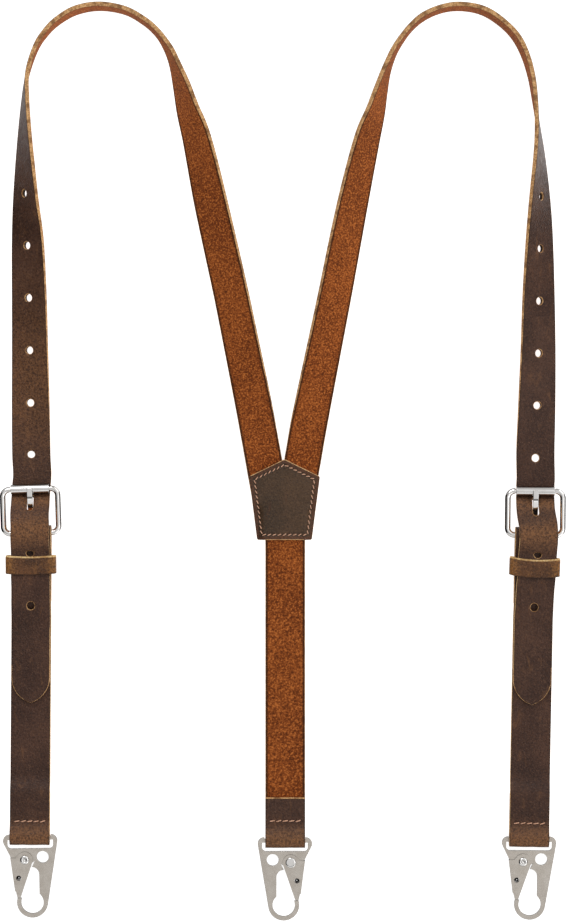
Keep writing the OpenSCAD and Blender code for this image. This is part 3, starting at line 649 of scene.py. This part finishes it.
class Shader(Nodes):
    """A material with one Principled shader."""

    def __init__(self, name, **constants):
        self.material = bpy.data.materials.new(name)
        super().__init__(self.material)
        self.bsdf = self.tree.nodes["Principled BSDF"]
        for key, value in constants.items():
            self.bsdf.inputs[key.replace("_", " ")].default_value = value
        self.place = self.add("ShaderNodeTexCoord").outputs["Object"]

    def noise(self, size, detail=3.0, rough=0.55, stretch=None, distortion=0.0):
        """Noise with features of about the given size in metres, 0 to 1."""
        node = self.add("ShaderNodeTexNoise")
        where = self.place
        if stretch:
            mapping = self.add("ShaderNodeMapping")
            mapping.inputs["Scale"].default_value = stretch
            self.join(where, mapping.inputs["Vector"])
            where = mapping.outputs["Vector"]
        self.join(where, node.inputs["Vector"])
        for key, value in zip(("Scale", "Detail", "Roughness", "Distortion"),
                              (1 / size, detail, rough, distortion)):
            node.inputs[key].default_value = value
        return node.outputs["Fac"]

    def cells(self, size):
        node = self.add("ShaderNodeTexVoronoi")
        self.join(self.place, node.inputs["Vector"])
        node.inputs["Scale"].default_value = 1 / size
        return node.outputs["Distance"]

    def attribute(self, name):
        return self.add("ShaderNodeAttribute", attribute_name=name).outputs["Fac"]

    def remap(self, value, low, high, to_low=0.0, to_high=1.0):
        node = self.add("ShaderNodeMapRange", interpolation_type="SMOOTHSTEP")
        for key, v in zip(("Value", "From Min", "From Max", "To Min", "To Max"),
                          (value, low, high, to_low, to_high)):
            self.join(v, node.inputs[key])
        return node.outputs["Result"]

    def tint(self, colour, value, low, high, tone, to_low=0.0, to_high=1.0):
        """The colour turned towards a tone as the value goes from low to high."""
        return self.mix(self.remap(value, low, high, to_low, to_high), colour, tone)

    def bump(self, layers):
        """Stacks bumps, each (height, depth in metres, strength)."""
        normal = None
        for height, depth, strength in layers:
            node = self.add("ShaderNodeBump")
            node.inputs["Distance"].default_value = depth
            node.inputs["Strength"].default_value = strength
            self.join(height, node.inputs["Height"])
            if normal is not None:
                self.join(normal, node.inputs["Normal"])
            normal = node.outputs["Normal"]
        self.join(normal, self.bsdf.inputs["Normal"])

    def finish(self, colour, roughness):
        self.join(colour, self.bsdf.inputs["Base Color"])
        self.join(roughness, self.bsdf.inputs["Roughness"])
        return self.material


def rgb(r, g, b):
    """A colour given as on screen, 0 to 255, as linear light."""
    return tuple((c / 255 / 12.92 if c <= 10 else ((c / 255 + 0.055) / 1.055) ** 2.4)
                 for c in (r, g, b)) + (1.0,)


def grain_leather(name, dark, mid, light, pull, specular=0.24):
    """Waxed grain: cloudy brown, lighter where it is bent or scuffed and where painted light is
    laid on, with fine pebbling.
    """
    sh = Shader(name, Specular_IOR_Level=specular)
    cloud = sh.noise(0.028, 4.0, 0.6)
    fleck = sh.noise(0.0013, 3.0, 0.7)
    fine = sh.noise(0.0007, 3.0, 0.6)
    colour = sh.tint(dark, cloud, 0.3, 0.7, mid)
    colour = sh.tint(colour, fleck, 0.52, 0.7, light, 0.0, 0.5)
    colour = sh.tint(colour, fleck, 0.34, 0.48, rgb(26, 16, 12), 0.5, 0.0)
    scuff = sh.noise(0.006, 5.0, 0.65, stretch=(1.0, 0.35, 1.0), distortion=0.6)
    rubs_and_painted_light = sh.remap(scuff, 0.56, 0.74, 0.0, 0.25)
    # The wear attribute carries real wear and painted light; both turn the grain towards the
    # pull-up colour
    worn_and_painted_light = sh.maths("MULTIPLY", sh.attribute("wear_and_painted_light"), sh.remap(fleck, 0.36, 0.62, 0.15, 0.7))
    colour = sh.mix(sh.maths("ADD", rubs_and_painted_light, worn_and_painted_light), colour, pull)
    colour = sh.tint(colour, sh.attribute("border"), 0.0001, 0.0011, rgb(30, 19, 14), 0.6, 0.0)
    fibres = sh.tint(rgb(150, 108, 64), fine, 0.3, 0.6, rgb(232, 194, 138))
    colour = sh.tint(colour, sh.attribute("bare"), 0.45, 0.65, fibres)
    sh.bump([
        (sh.noise(0.009, 3.0, 0.5), 0.0006, 0.5),
        (sh.cells(0.00105), 0.00034, 0.85),
        (fine, 0.00014, 0.7),
    ])
    rough = sh.remap(sh.noise(0.004, 4.0, 0.7), 0.3, 0.7, 0.34, 0.5)
    return sh.finish(colour, rough)


def flesh_leather(name):
    """The undyed inner side: short suede nap, speckled, darker along its borders."""
    sh = Shader(name, Specular_IOR_Level=0.12, Sheen_Weight=0.12, Sheen_Roughness=0.6)
    sh.bsdf.inputs["Sheen Tint"].default_value = rgb(220, 150, 90)
    cloud = sh.noise(0.035, 3.0, 0.55)
    fleck = sh.noise(0.00112, 2.0, 0.7)
    fibre = sh.noise(0.0008, 4.0, 0.8)
    colour = sh.tint(rgb(118, 58, 23), cloud, 0.3, 0.7, rgb(142, 74, 31))
    colour = sh.tint(colour, fleck, 0.52, 0.64, rgb(188, 108, 50), 0.0, 0.95)
    colour = sh.tint(colour, fleck, 0.36, 0.48, rgb(72, 32, 12), 0.85, 0.0)
    colour = sh.tint(colour, sh.attribute("border"), 0.0008, 0.0024, rgb(44, 22, 12), 0.9, 0.0)
    sh.bump([
        (sh.noise(0.012, 2.0, 0.5), 0.0005, 0.4),
        (fleck, 0.00025, 0.6),
        (fibre, 0.00018, 0.8),
    ])
    return sh.finish(colour, sh.remap(fibre, 0.3, 0.7, 0.82, 0.97))


def edge_leather(name, low, high, stain):
    """The cut edge: compressed fibres in thin layers, with painted shade inside the punched holes.
    """
    sh = Shader(name, Specular_IOR_Level=0.2)
    layers = sh.noise(0.0011, 4.0, 0.7)
    blotch = sh.noise(0.005, 3.0, 0.6)
    colour = sh.tint(low, layers, 0.35, 0.65, high)
    colour = sh.tint(colour, blotch, 0.45, 0.65, stain, 0.0, 0.75)
    # Painted shade inside the punched holes
    colour = sh.mix(sh.attribute("shade"), colour, rgb(24, 15, 11))
    sh.bump([(layers, 0.0002, 0.7), (sh.noise(0.0005), 0.0001, 0.6)])
    return sh.finish(colour, sh.remap(layers, 0.3, 0.7, 0.6, 0.85))


def thread_material(name):
    sh = Shader(name, Specular_IOR_Level=0.3, Sheen_Weight=0.25, Sheen_Roughness=0.4)
    fibre = sh.noise(0.0003, 3.0, 0.6)
    soil = sh.noise(0.006, 3.0, 0.6)
    colour = sh.tint(rgb(200, 146, 116), fibre, 0.3, 0.7, rgb(238, 192, 162))
    colour = sh.tint(colour, soil, 0.5, 0.75, rgb(136, 86, 60), 0.0, 0.5)
    sh.bump([(fibre, 0.00006, 0.7)])
    return sh.finish(colour, sh.remap(fibre, 0.3, 0.7, 0.55, 0.75))


def metal(name, base, shade, rim, rough_low, rough_high, grain_depth, painted_shade_from):
    """Nickel plate: slight cloudiness, faint tumbling marks, and painted shade that darkens it
    where it is seen aslant.
    """
    sh = Shader(name, Metallic=1.0)
    cloud = sh.noise(0.006, 3.0, 0.6)
    marks = sh.noise(0.0009, 4.0, 0.7, stretch=(1.0, 0.5, 1.0))
    colour = sh.tint(base, cloud, 0.3, 0.7, shade)
    # Painted shade: the colour turns towards the rim colour where the surface is seen aslant
    painted_shade_facing = sh.add("ShaderNodeLayerWeight")
    painted_shade_facing.inputs["Blend"].default_value = 0.5
    colour = sh.tint(colour, painted_shade_facing.outputs["Facing"], painted_shade_from, painted_shade_from + 0.3, rim, 0.0, 0.93)
    sh.bump([(sh.noise(0.004, 2.0, 0.5), 0.00002, 0.4), (marks, grain_depth, 0.5)])
    return sh.finish(colour, sh.remap(marks, 0.3, 0.7, rough_low, rough_high))


GRAIN_BROWN = grain_leather("strap_grain", rgb(57, 36, 27), rgb(78, 52, 39), rgb(106, 76, 57),
                            rgb(146, 100, 62), 0.22)
FLESH_BROWN = flesh_leather("strap_flesh")
CUT_EDGE = edge_leather("cut_edge", rgb(160, 112, 68), rgb(222, 178, 124), rgb(110, 72, 42))
PATCH_GRAIN = grain_leather("patch_grain", rgb(60, 45, 32), rgb(82, 60, 42), rgb(104, 78, 54),
                            rgb(100, 56, 36))
PATCH_EDGE = edge_leather("patch_edge", rgb(176, 130, 84), rgb(226, 188, 138),
                          rgb(150, 100, 60))
KEEPER_GRAIN = grain_leather("keeper_grain", rgb(60, 38, 24), rgb(102, 66, 39),
                             rgb(140, 96, 58), rgb(176, 120, 60))
KEEPER_EDGE = edge_leather("keeper_edge", rgb(178, 138, 84), rgb(236, 206, 152),
                           rgb(160, 116, 66))
THREAD = thread_material("waxed_thread")
# The third colour of each metal is the painted shade it takes where it is seen aslant; the last
# number is where that shade starts
SATIN = metal("satin_nickel", rgb(208, 199, 188), rgb(220, 212, 202), rgb(44, 40, 36),
              0.24, 0.34, 0.00002, 0.03)
BRIGHT = metal("bright_nickel", rgb(236, 233, 229), rgb(244, 242, 240), rgb(26, 24, 22),
               0.05, 0.11, 0.000006, 0.3)
SPRING = metal("spring_wire", rgb(54, 52, 50), rgb(76, 74, 72), rgb(10, 10, 10),
               0.3, 0.45, 0.00001, 0.04)


# ---- Straps ----

PAINTED_LIGHT_PATCHES = {LEFT: [(0.215, 0.05, 0.6)], RIGHT: []}     # painted light: a lighter patch on the left strap's grain, standing in for brighter light there


def shoulder_strap(side):
    path = ShoulderPath(side)
    holes = [(FIRST_HOLE + i * HOLE_PITCH, SLOT_PULL if i == PRONG_HOLE else 0.0)
             for i in range(HOLE_COUNT)]
    crest = path.crest
    strip = leather_strip(
        f"{side}_shoulder_leather", path, seed=3 if side == LEFT else 8, holes=holes,
        # The first crease lightens the grain over the tongue's crest: partly pull-up of the bent
        # leather, partly a painted highlight
        creases=[(crest + 0.003, 0.010, 0.0005), (crest + 0.022, 0.004, 0.0003)],
        tip_round=0.024, bare_sides=[(1, 0.02, crest if side == RIGHT else 0.05)],
        rubs_and_painted_light=PAINTED_LIGHT_PATCHES[side])
    finish_piece(strip, "straps", f"{side}_shoulder_strap")


def front_strap(side):
    path = front_path(side)
    heel = path.along(0, BUCKLE_Z)
    slot = (heel - SLOT_BACK - SLOT_SPARE, heel + SLOT_FRONT + SLOT_SPARE, SLOT_HALF)
    bar = path.along(-FRONT_LEN, HOOK_Z)
    strip = leather_strip(
        f"{side}_front_leather", path, seed=13 if side == LEFT else 21, slot=slot,
        creases=[(bar - 0.005, 0.009, 0.0003)],
        bare_sides=[(1 if side == LEFT else -1, heel, bar - 0.01)])
    finish_piece(strip, "straps", f"{side}_front_strap")


def back_strap():
    path = back_path()
    bar = path.along(BACK_HOOK_AT[1], HOOK_Z)
    strip = leather_strip("back_leather", path, seed=31, bare_end=0.0007,
                          creases=[(bar + 0.005, 0.009, 0.0003)])
    finish_piece(strip, "straps", "back_strap")


shoulder_strap(LEFT)
shoulder_strap(RIGHT)
front_strap(LEFT)
front_strap(RIGHT)
back_strap()


# ---- Keepers ----

def keeper(side):
    """A closed loop of thin leather, bowed a little over the strap, with soft cut edges."""
    half_w, round_r, r = KEEPER_W / 2, KEEPER_ROUND, ROUND_R
    corners = [(half_w - round_r, KEEPER_HIGH - round_r, 0),
               (-half_w + round_r, KEEPER_HIGH - round_r, 90),
               (-half_w + round_r, KEEPER_LOW + round_r, 180),
               (half_w - round_r, KEEPER_LOW + round_r, 270)]
    # The loop's outer face: x, z and the way it faces there
    path = []
    for cx, cz, start in corners:
        for a in np.radians(np.linspace(start, start + 90, 9)):
            n = np.array((math.cos(a), math.sin(a)))
            path.append(np.concatenate([(cx, cz) + round_r * n, n]))
    dense = []
    for p, q in zip(path, path[1:] + path[:1]):
        count = max(1, round(math.dist(p[:2], q[:2]) / 0.0008))
        dense += [p + (q - p) * k / count for k in range(count)]
    half = KEEPER_LEN / 2
    across = np.linspace(-half + r, half - KEEPER_SKIVE, 14)
    section = [(y, 0.0, GRAIN) for y in across]
    section += [(half - 0.0007, 0.00006, EDGE), (half - 0.0003, 0.00022, EDGE),
                (half - 0.0001, 0.0004, EDGE), (half, 0.0007, EDGE),
                (half, KEEPER_T - 0.0003, EDGE), (half - 0.0002, KEEPER_T, EDGE)]
    section += [(y, KEEPER_T, FLESH) for y in across[::-1]]
    rounds = [(-half + r - r * math.sin(a), r * (1 - math.cos(a))) for a in (0.5, 1.05, 1.57)]
    section += [(y, KEEPER_T - fall, EDGE) for y, fall in rounds]
    section += [(y, fall, EDGE) for y, fall in rounds[::-1]]
    loop = len(section)
    seed = 40 if side == LEFT else 47
    verts, border, wear_and_painted_light = [], [], []
    for x, z, *n in dense:
        top = z > KEEPER_HIGH - round_r
        for y, depth, kind in section:
            lift = 0.0
            if top:
                lift = (-KEEPER_CROWN * (y / half) ** 2
                        + 0.00008 * noise.noise(Vector((x / 0.004, y / 0.004, seed))))
            wave = KEEPER_WAVE * noise.noise(Vector((x / 0.012, z / 0.012, seed + 5)))
            sag = KEEPER_BOW[side] * (1 - (x / half_w) ** 2) * (1 if z > 0.008 else 0.3)
            verts.append((x - n[0] * depth, y + wave * min(1, abs(y) / half) - sag,
                          z - n[1] * depth + lift * (1 - depth / KEEPER_T * 0.5)))
            border.append(half + y if y < 0 else 0.01)
            # More rubbed at its rounded corners
            wear_and_painted_light.append(soft_step(abs(x), half_w * 0.45, half_w * 0.95) * 0.7)
    faces = bands([*range(0, len(verts), loop), 0], loop)
    kinds = []
    for (y, _, kind), (_, _, after) in zip(section, section[1:] + section[:1]):
        # The lower edge is burnished, the upper one is bare
        kinds.append(GRAIN if y < 0 and EDGE in (kind, after)
                     else kind if kind == after else EDGE)
    out = []
    for x, y, z in verts:
        x, y = turned(x, y, KEEPER_TILT[side])
        out.append(on_side(side)((x, y + KEEPER_MID_Y, z)))
    obj = new_object(f"{side}_keeper_loop", out, faces, kinds * len(dense),
                     (KEEPER_GRAIN, FLESH_BROWN, KEEPER_EDGE), {"border": border, "wear_and_painted_light": wear_and_painted_light})
    finish_piece(obj, f"{side}_keeper", f"{side}_keeper")


keeper(LEFT)
keeper(RIGHT)


# ---- Seams ----

def stitch_places(p, q, stitch=STITCH_LEN):
    """Middles and direction of the stitches of a straight seam from p to q."""
    p, q = np.array(p), np.array(q)
    count = int(round(np.linalg.norm(q - p) / (stitch + THREAD_D)))
    return [p + (q - p) * (i + 0.5) / count for i in range(count)], (q - p) / np.linalg.norm(q - p)


def patch_seam():
    """One straight row along each edge of the patch, at the same distance from all of them."""
    points = [np.array(c) for c in PATCH_CORNERS]
    corners = []
    for i, c in enumerate(points):
        before, after = unit(c - points[i - 1]), unit(points[(i + 1) % 5] - c)
        a, b = (np.array([d[1], -d[0]]) for d in (before, after))
        corners.append(c + SEAM_INSET * (a + b) / (1 + a @ b))
    return [stitch_places(a, b, PATCH_STITCH_LEN)
            for a, b in zip(corners, corners[1:] + corners[:1])]


def stitches(name, rows, height_at, transform, node, slant=14, stitch=STITCH_LEN,
             ply_r=PLY_R):
    """Two-ply stitches, each a low arch that dives into its needle holes."""
    verts, faces = [], []
    steps, sides = 14, 7
    half, twist_r = stitch / 2 + 0.0001, ply_r * 0.72
    rng = np.random.default_rng(11)
    for middles, direction in rows:
        for middle in middles:
            lean = math.radians(slant + rng.uniform(-5, 5))
            d = Vector((direction[0] * math.cos(lean) - direction[1] * math.sin(lean),
                        direction[0] * math.sin(lean) + direction[1] * math.cos(lean), 0))
            side = Vector((-d.y, d.x, 0))
            phase = rng.uniform(0, 6)
            for ply in (0, math.pi):
                start = len(verts)
                for i in range(steps + 1):
                    f = 2 * i / steps - 1
                    x = middle[0] + d.x * half * f
                    y = middle[1] + d.y * half * f
                    arch = (STITCH_ARCH * math.sqrt(max(0.0, 1 - f * f))
                            - STITCH_DIVE * f ** 6)
                    base = Vector((x, y, height_at(x, y) + arch))
                    a = phase + ply + PLY_TWIST * f
                    taper = 1 - 0.45 * abs(f) ** 4
                    centre = base + (side * math.cos(a) + Vector((0, 0, 0.8)) * math.sin(a)) \
                        * twist_r * taper
                    for k in range(sides):
                        b = 2 * math.pi * k / sides
                        verts.append(centre + (side * math.cos(b)
                                               + Vector((0, 0, 1)) * math.sin(b)) * ply_r * taper)
                faces += bands(range(start, len(verts), sides), sides)
                faces.append(tuple(start + k for k in range(sides))[::-1])
                faces.append(tuple(start + steps * sides + k for k in range(sides)))
    obj = new_object(name, [transform(v) for v in verts], faces, None, (THREAD,), merge=1e-9)
    finish_piece(obj, "straps", node)


SEAM_Z = TOP_MID + LOW_MID


def cross_seam(name, y, z, transform, node):
    row = stitch_places((-SEAM_HALF, y), (SEAM_HALF, y))
    stitches(name, [row], lambda *_: z, transform, node)


for side in (LEFT, RIGHT):
    cross_seam(f"{side}_hook_seam", HOOK_SEAM - FRONT_LEN, SEAM_Z, on_side(side),
               f"{side}_fold_stitching")
    cross_seam(f"{side}_heel_seam", -HEEL_SEAM, SEAM_Z + 0.00008, on_side(side),
               f"{side}_buckle_stitching")
cross_seam("back_hook_seam", BACK_HOOK_AT[1] + BACK_SEAM, SEAM_Z, moved(BACK_X),
           "back_fold_stitching")


# ---- Patch ----

def patch_fall(x, y):
    """How far the inner patch sinks where no strap lies under its borders."""
    beside = soft_step(abs(x), 0.0132, 0.0178)
    below = soft_step(-0.027 - y, 0, 0.006)
    notch = bell(x, 0.0012) * soft_step(y, -0.020, -0.004)
    return 0.0024 * beside * below + 0.0002 * notch


def patch(name, node, z, sinks, seed):
    """A five-sided leather patch: rings from its rounded border in to the middle."""
    mid = Vector((*PATCH_MIDDLE, 0))
    rim = []
    corners = [Vector((*c, 0)) for c in PATCH_CORNERS]
    cut = PATCH_CORNER
    for i, c in enumerate(corners):
        before, after = corners[i - 1], corners[(i + 1) % 5]
        a, b = c + (before - c).normalized() * cut, c + (after - c).normalized() * cut
        for k in range(4):
            t = k / 4
            rim.append(a.lerp(c, t).lerp(c.lerp(b, t), t))
        length = (after - c).length - 2 * cut
        end = after + (c - after).normalized() * cut
        count = round(length / 0.0007)
        rim += [b.lerp(end, k / count) for k in range(count)]
    needle = np.array([m + s * d * (PATCH_STITCH_LEN / 2 + 0.0002)
                       for middles, d in patch_seam() for m in middles for s in (-1, 1)])
    r = PATCH_ROUND
    inset = [0.0, 0.00012, 0.0003, 0.0005] + list(np.arange(0.001, 0.0066, 0.00045))
    verts, faces, kinds, border, wear_and_painted_light = [], [], [], [], []

    def point(p, d, depth, lower):
        to_mid = mid - p
        q = p + to_mid.normalized() * min(d, to_mid.length)
        gap = np.min(np.hypot(needle[:, 0] - q.x, needle[:, 1] - q.y))
        groove = SEAM_GROOVE * bell(d - SEAM_INSET, 0.0007)
        dimple = NEEDLE_DIMPLE * bell(gap, 0.00045)
        uneven = 0.00012 * noise.noise(Vector((q.x / 0.007, q.y / 0.007, seed)))
        level = z + PATCH_T - depth
        if not lower:
            level += uneven * soft_step(d, 0, 0.001) - groove - dimple
        if sinks:
            level -= patch_fall(q.x, q.y)
        verts.append((q.x + PATCH_X + MID[0], q.y + MID[1], level))
        border.append(d)
        wear_and_painted_light.append(soft_step(0.0030 - d, 0, 0.0010) * 0.8)

    layers = [(d, r * (1 - math.sqrt(max(0, 1 - (1 - min(d, r) / r) ** 2))), False)
              for d in inset]

    def ring(d, depth, lower, inwards=0.0):
        """Points at d from the rim, or a share of the way on from there to the middle."""
        for p in rim:
            point(p, d + ((mid - p).length - d) * inwards, depth, lower)
        return len(verts) - len(rim)

    n = len(rim)
    rows_top = [ring(*layer)
                for layer in [(0.0, PATCH_T - r, True), (0.0, PATCH_T * 0.5, True)] + layers]
    rows_top += [ring(inset[-1], 0.0, False, f) for f in np.linspace(0, 1, 10)[1:]]
    faces += [face[:1] + face[:0:-1] for face in bands(rows_top, n)]
    for a in rows_top[:-1]:
        for p in rim:
            bare = p.y > PATCH_CORNERS[1][1] + 0.0004 or (
                p.y < PATCH_CORNERS[2][1] + 0.0002 and abs(p.x) < STRAP_W / 2)
            kinds.append(EDGE if a < rows_top[3] or (bare and a < rows_top[5]) else GRAIN)
    rows_low = [ring(d, depth, True) for d, depth in (
        (0.0, PATCH_T - r), (0.00015, PATCH_T - 0.0001), (0.0005, PATCH_T), (0.004, PATCH_T),
        (0.012, PATCH_T))]
    faces += bands(rows_low, n)
    kinds += [EDGE] * 2 * n + [FLESH] * 2 * n
    faces.append(tuple(rows_low[-1] + k for k in range(n)))
    kinds.append(FLESH)
    obj = new_object(name, verts, faces, kinds, (PATCH_GRAIN, FLESH_BROWN, PATCH_EDGE),
                     {"border": border, "wear_and_painted_light": wear_and_painted_light})
    finish_piece(obj, "straps", node)


patch("inner_patch_leather", "inner_patch", INNER_PATCH_Z, True, 55)
patch("outer_patch_leather", "outer_patch", 0.0, False, 61)
stitches("patch_seam", patch_seam(),
         lambda x, y: INNER_PATCH_Z + PATCH_T - 0.0002 - patch_fall(x, y), moved(PATCH_X),
         "patch_stitching", slant=24, stitch=PATCH_STITCH_LEN, ply_r=0.00021)


# ---- Metal ----

SHARP = math.radians(30)          # edges between faces at more than this are broken
CREASED = math.radians(38)        # and those that stay sharper than this look sharp
RIVET_TURNS = 40


def finished_metal(node, body, material, width, segments=2):
    """The CAD node with its sharp edges broken, smoothly shaded."""
    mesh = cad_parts[node].data.copy()
    obj = scene_object(f"{node}_metal", mesh)
    bm = bmesh.new()
    bm.from_mesh(mesh)
    bmesh.ops.remove_doubles(bm, verts=bm.verts, dist=2e-6)
    bmesh.ops.dissolve_limit(bm, angle_limit=math.radians(0.6), verts=bm.verts, edges=bm.edges)
    if width:
        sharp = [e for e in bm.edges
                 if len(e.link_faces) == 2 and e.calc_face_angle(0) > SHARP]
        bmesh.ops.bevel(bm, geom=sharp, offset=width, segments=segments, profile=0.6,
                        affect="EDGES", clamp_overlap=True)
    for face in bm.faces:
        face.smooth = True
    for edge in bm.edges:
        edge.smooth = len(edge.link_faces) == 2 and edge.calc_face_angle(0) < CREASED
    bm.to_mesh(mesh)
    bm.free()
    mesh.materials.clear()
    mesh.materials.append(material)
    weighted = obj.modifiers.new("normals", "WEIGHTED_NORMAL")
    weighted.keep_sharp = True
    finish_piece(obj, body, node)


def hook_place(which):
    """The CAD's own placing of a hook: its bar along X, its plate in the XY plane."""
    if which == "back":
        x, y = BACK_HOOK_AT
    else:
        x, y = turned(HOOK_SLIDE[which], -FRONT_LEN, STRAP_LEAN[which])
        x, y = x + HEEL_AT[which][0], y + HEEL_AT[which][1]
    return (Matrix.Translation((x + MID[0], y + MID[1], HOOK_Z))
            @ Matrix.Rotation(math.radians(HOOK_LEAN[which]), 4, "Z")
            @ Matrix.Rotation(math.radians(HOOK_DROOP), 4, "X")
            @ Matrix.Rotation(math.pi if which == "back" else 0, 4, "Y"))


# Section of a rivet, from its spread, hollow front end to its domed head: radius, height, in mm
RIVET_SECTION = [
    (0, 1.3), (0.45, 1.3), (0.8, 1.4), (1, 1.72), (1.14, 2.08), (1.4, 2.34), (1.75, 2.44),
    (2.1, 2.4), (2.45, 2.24), (2.74, 2), (2.88, 1.82), (2.86, 1.76), (1.45, 1.75),
    (1.45, -1.75), (3.36, -1.76), (3.39, -1.86), (3.33, -2.1), (3.14, -2.33), (2.8, -2.47),
    (2.2, -2.53), (1, -2.55), (0, -2.55),
]


def rivet(which):
    place = hook_place(which) @ Matrix.Translation((*PIVOT_AT, 0))
    verts = []
    for r, z in RIVET_SECTION:
        for k in range(RIVET_TURNS):
            a = 2 * math.pi * k / RIVET_TURNS
            verts.append(place @ (Vector((r * math.cos(a), r * math.sin(a), z)) / 1000))
    faces = bands(range(0, len(verts), RIVET_TURNS), RIVET_TURNS)
    obj = new_object(f"{which}_rivet", verts, faces, None, (BRIGHT,), merge=1e-6)
    finish_piece(obj, f"{which}_hook", f"{which}_hook_rivet")


for side in (LEFT, RIGHT):
    for part, width, segments in (("frame", 0, 2), ("prong", 0.0012, 5), ("roller", 0.00025, 3)):
        finished_metal(f"{side}_buckle_{part}", f"{side}_{part}", BRIGHT,
                       width, segments)
for which in (LEFT, RIGHT, "back"):
    hook, gate = f"{which}_hook", f"{which}_gate"
    finished_metal(f"{which}_hook_plate", hook, SATIN, 0.00035, 3)
    rivet(which)
    finished_metal(f"{which}_hook_gate", gate, SATIN, 0.00024, 3)
    finished_metal(f"{which}_hook_spring", gate, SPRING, 0)


# ---- Camera, floor and lights ----

VIEW_HEIGHT = 2.3
VIEW_SPAN = 0.6039                # length of table seen from top to bottom of the frame
VIEW_AT = (0.0011, 0.0019)
SENSOR = 36.0
FLOOR_HALF = 4
FLOOR_Z = -0.0002

camera = scene_object("camera", bpy.data.cameras.new("camera"))
camera.data.sensor_fit = "VERTICAL"
camera.data.sensor_height = SENSOR
camera.data.lens = SENSOR * VIEW_HEIGHT / VIEW_SPAN
camera.data.clip_end = 20.0
camera.location = (*VIEW_AT, VIEW_HEIGHT)
bpy.context.scene.camera = camera

floor_mesh = bpy.data.meshes.new("floor")
floor_mesh.from_pydata([(x * FLOOR_HALF, y * FLOOR_HALF, FLOOR_Z)
                        for x, y in ((-1, -1), (1, -1), (1, 1), (-1, 1))], [], [(0, 1, 2, 3)])
floor_shader = Shader("floor", Specular_IOR_Level=0.1, Emission_Color=(1, 1, 1, 1),
                      Emission_Strength=0.88)
floor_shader.finish(rgb(225, 225, 225), 0.9)
floor_mesh.materials.append(floor_shader.material)
floor = scene_object("floor", floor_mesh)
floor.visible_glossy = False


def softbox(name, place, size, power):
    """An area light that faces the middle of the table."""
    data = bpy.data.lights.new(name, "AREA")
    data.shape = "RECTANGLE"
    data.size, data.size_y = size
    data.energy = power
    light = scene_object(name, data)
    light.location = place
    light.rotation_euler = (-Vector(place)).to_track_quat("-Z", "Y").to_euler()


softbox("key", (-0.7, 1.9, 1.9), (1.5, 0.9), 22)
softbox("fill", (1.7, -0.5, 1.7), (0.7, 1.6), 4)

# The studio that the object mirrors: pale overhead, with a dimmer gap towards the near end, and
# pale to the right, near, far and below; dark low at the left and at the extreme right
world = bpy.data.worlds.new("studio")
studio = Nodes(world)
ray = studio.add("ShaderNodeSeparateXYZ")
studio.join(studio.add("ShaderNodeTexCoord").outputs["Generated"], ray.inputs["Vector"])


def world_ramp(value, *stops):
    """A level of light for each value between 0 and 1."""
    ramp = studio.add("ShaderNodeValToRGB")
    ramp.color_ramp.interpolation = "EASE"
    while len(ramp.color_ramp.elements) < len(stops):
        ramp.color_ramp.elements.new(0.5)
    for element, (where, level) in zip(ramp.color_ramp.elements, stops):
        element.position = where
        element.color = (level, level, level, 1)
    studio.join(value, ramp.inputs["Fac"])
    return ramp.outputs["Color"]


right, far_way, up = ray.outputs
near_way, down = (studio.maths("MULTIPLY", way, -1.0) for way in (far_way, up))
overhead = world_ramp(up, (0.0, 0.0), (0.35, 0.01), (0.72, 0.015), (0.85, 0.5), (0.95, 0.68))
gap = world_ramp(near_way, (0.36, 1.0), (0.44, 0.25), (0.5, 0.25), (0.58, 1.0))
light = studio.mix(1.0, overhead, gap, "MULTIPLY")
for lobe in (
        world_ramp(right, (0.3, 0.0), (0.42, 0.85), (0.85, 0.8), (0.95, 0.05), (1.0, 0.03)),
        world_ramp(near_way, (0.52, 0.0), (0.62, 0.8), (1.0, 0.75)),
        world_ramp(far_way, (0.3, 0.0), (0.45, 0.4), (1.0, 0.5)),
        world_ramp(down, (0.55, 0.0), (0.75, 0.8), (1.0, 0.9))):
    light = studio.mix(1.0, light, lobe, "ADD")
# Past the floor's edge the camera sees a plain pale backdrop instead
camera_ray = studio.add("ShaderNodeLightPath").outputs["Is Camera Ray"]
background = studio.tree.nodes["Background"]
studio.join(studio.mix(camera_ray, light, (0.9, 0.9, 0.9, 1)), background.inputs["Color"])
background.inputs["Strength"].default_value = 1.0
bpy.context.scene.world = world
bpy.context.scene.view_settings.view_transform = "Standard"
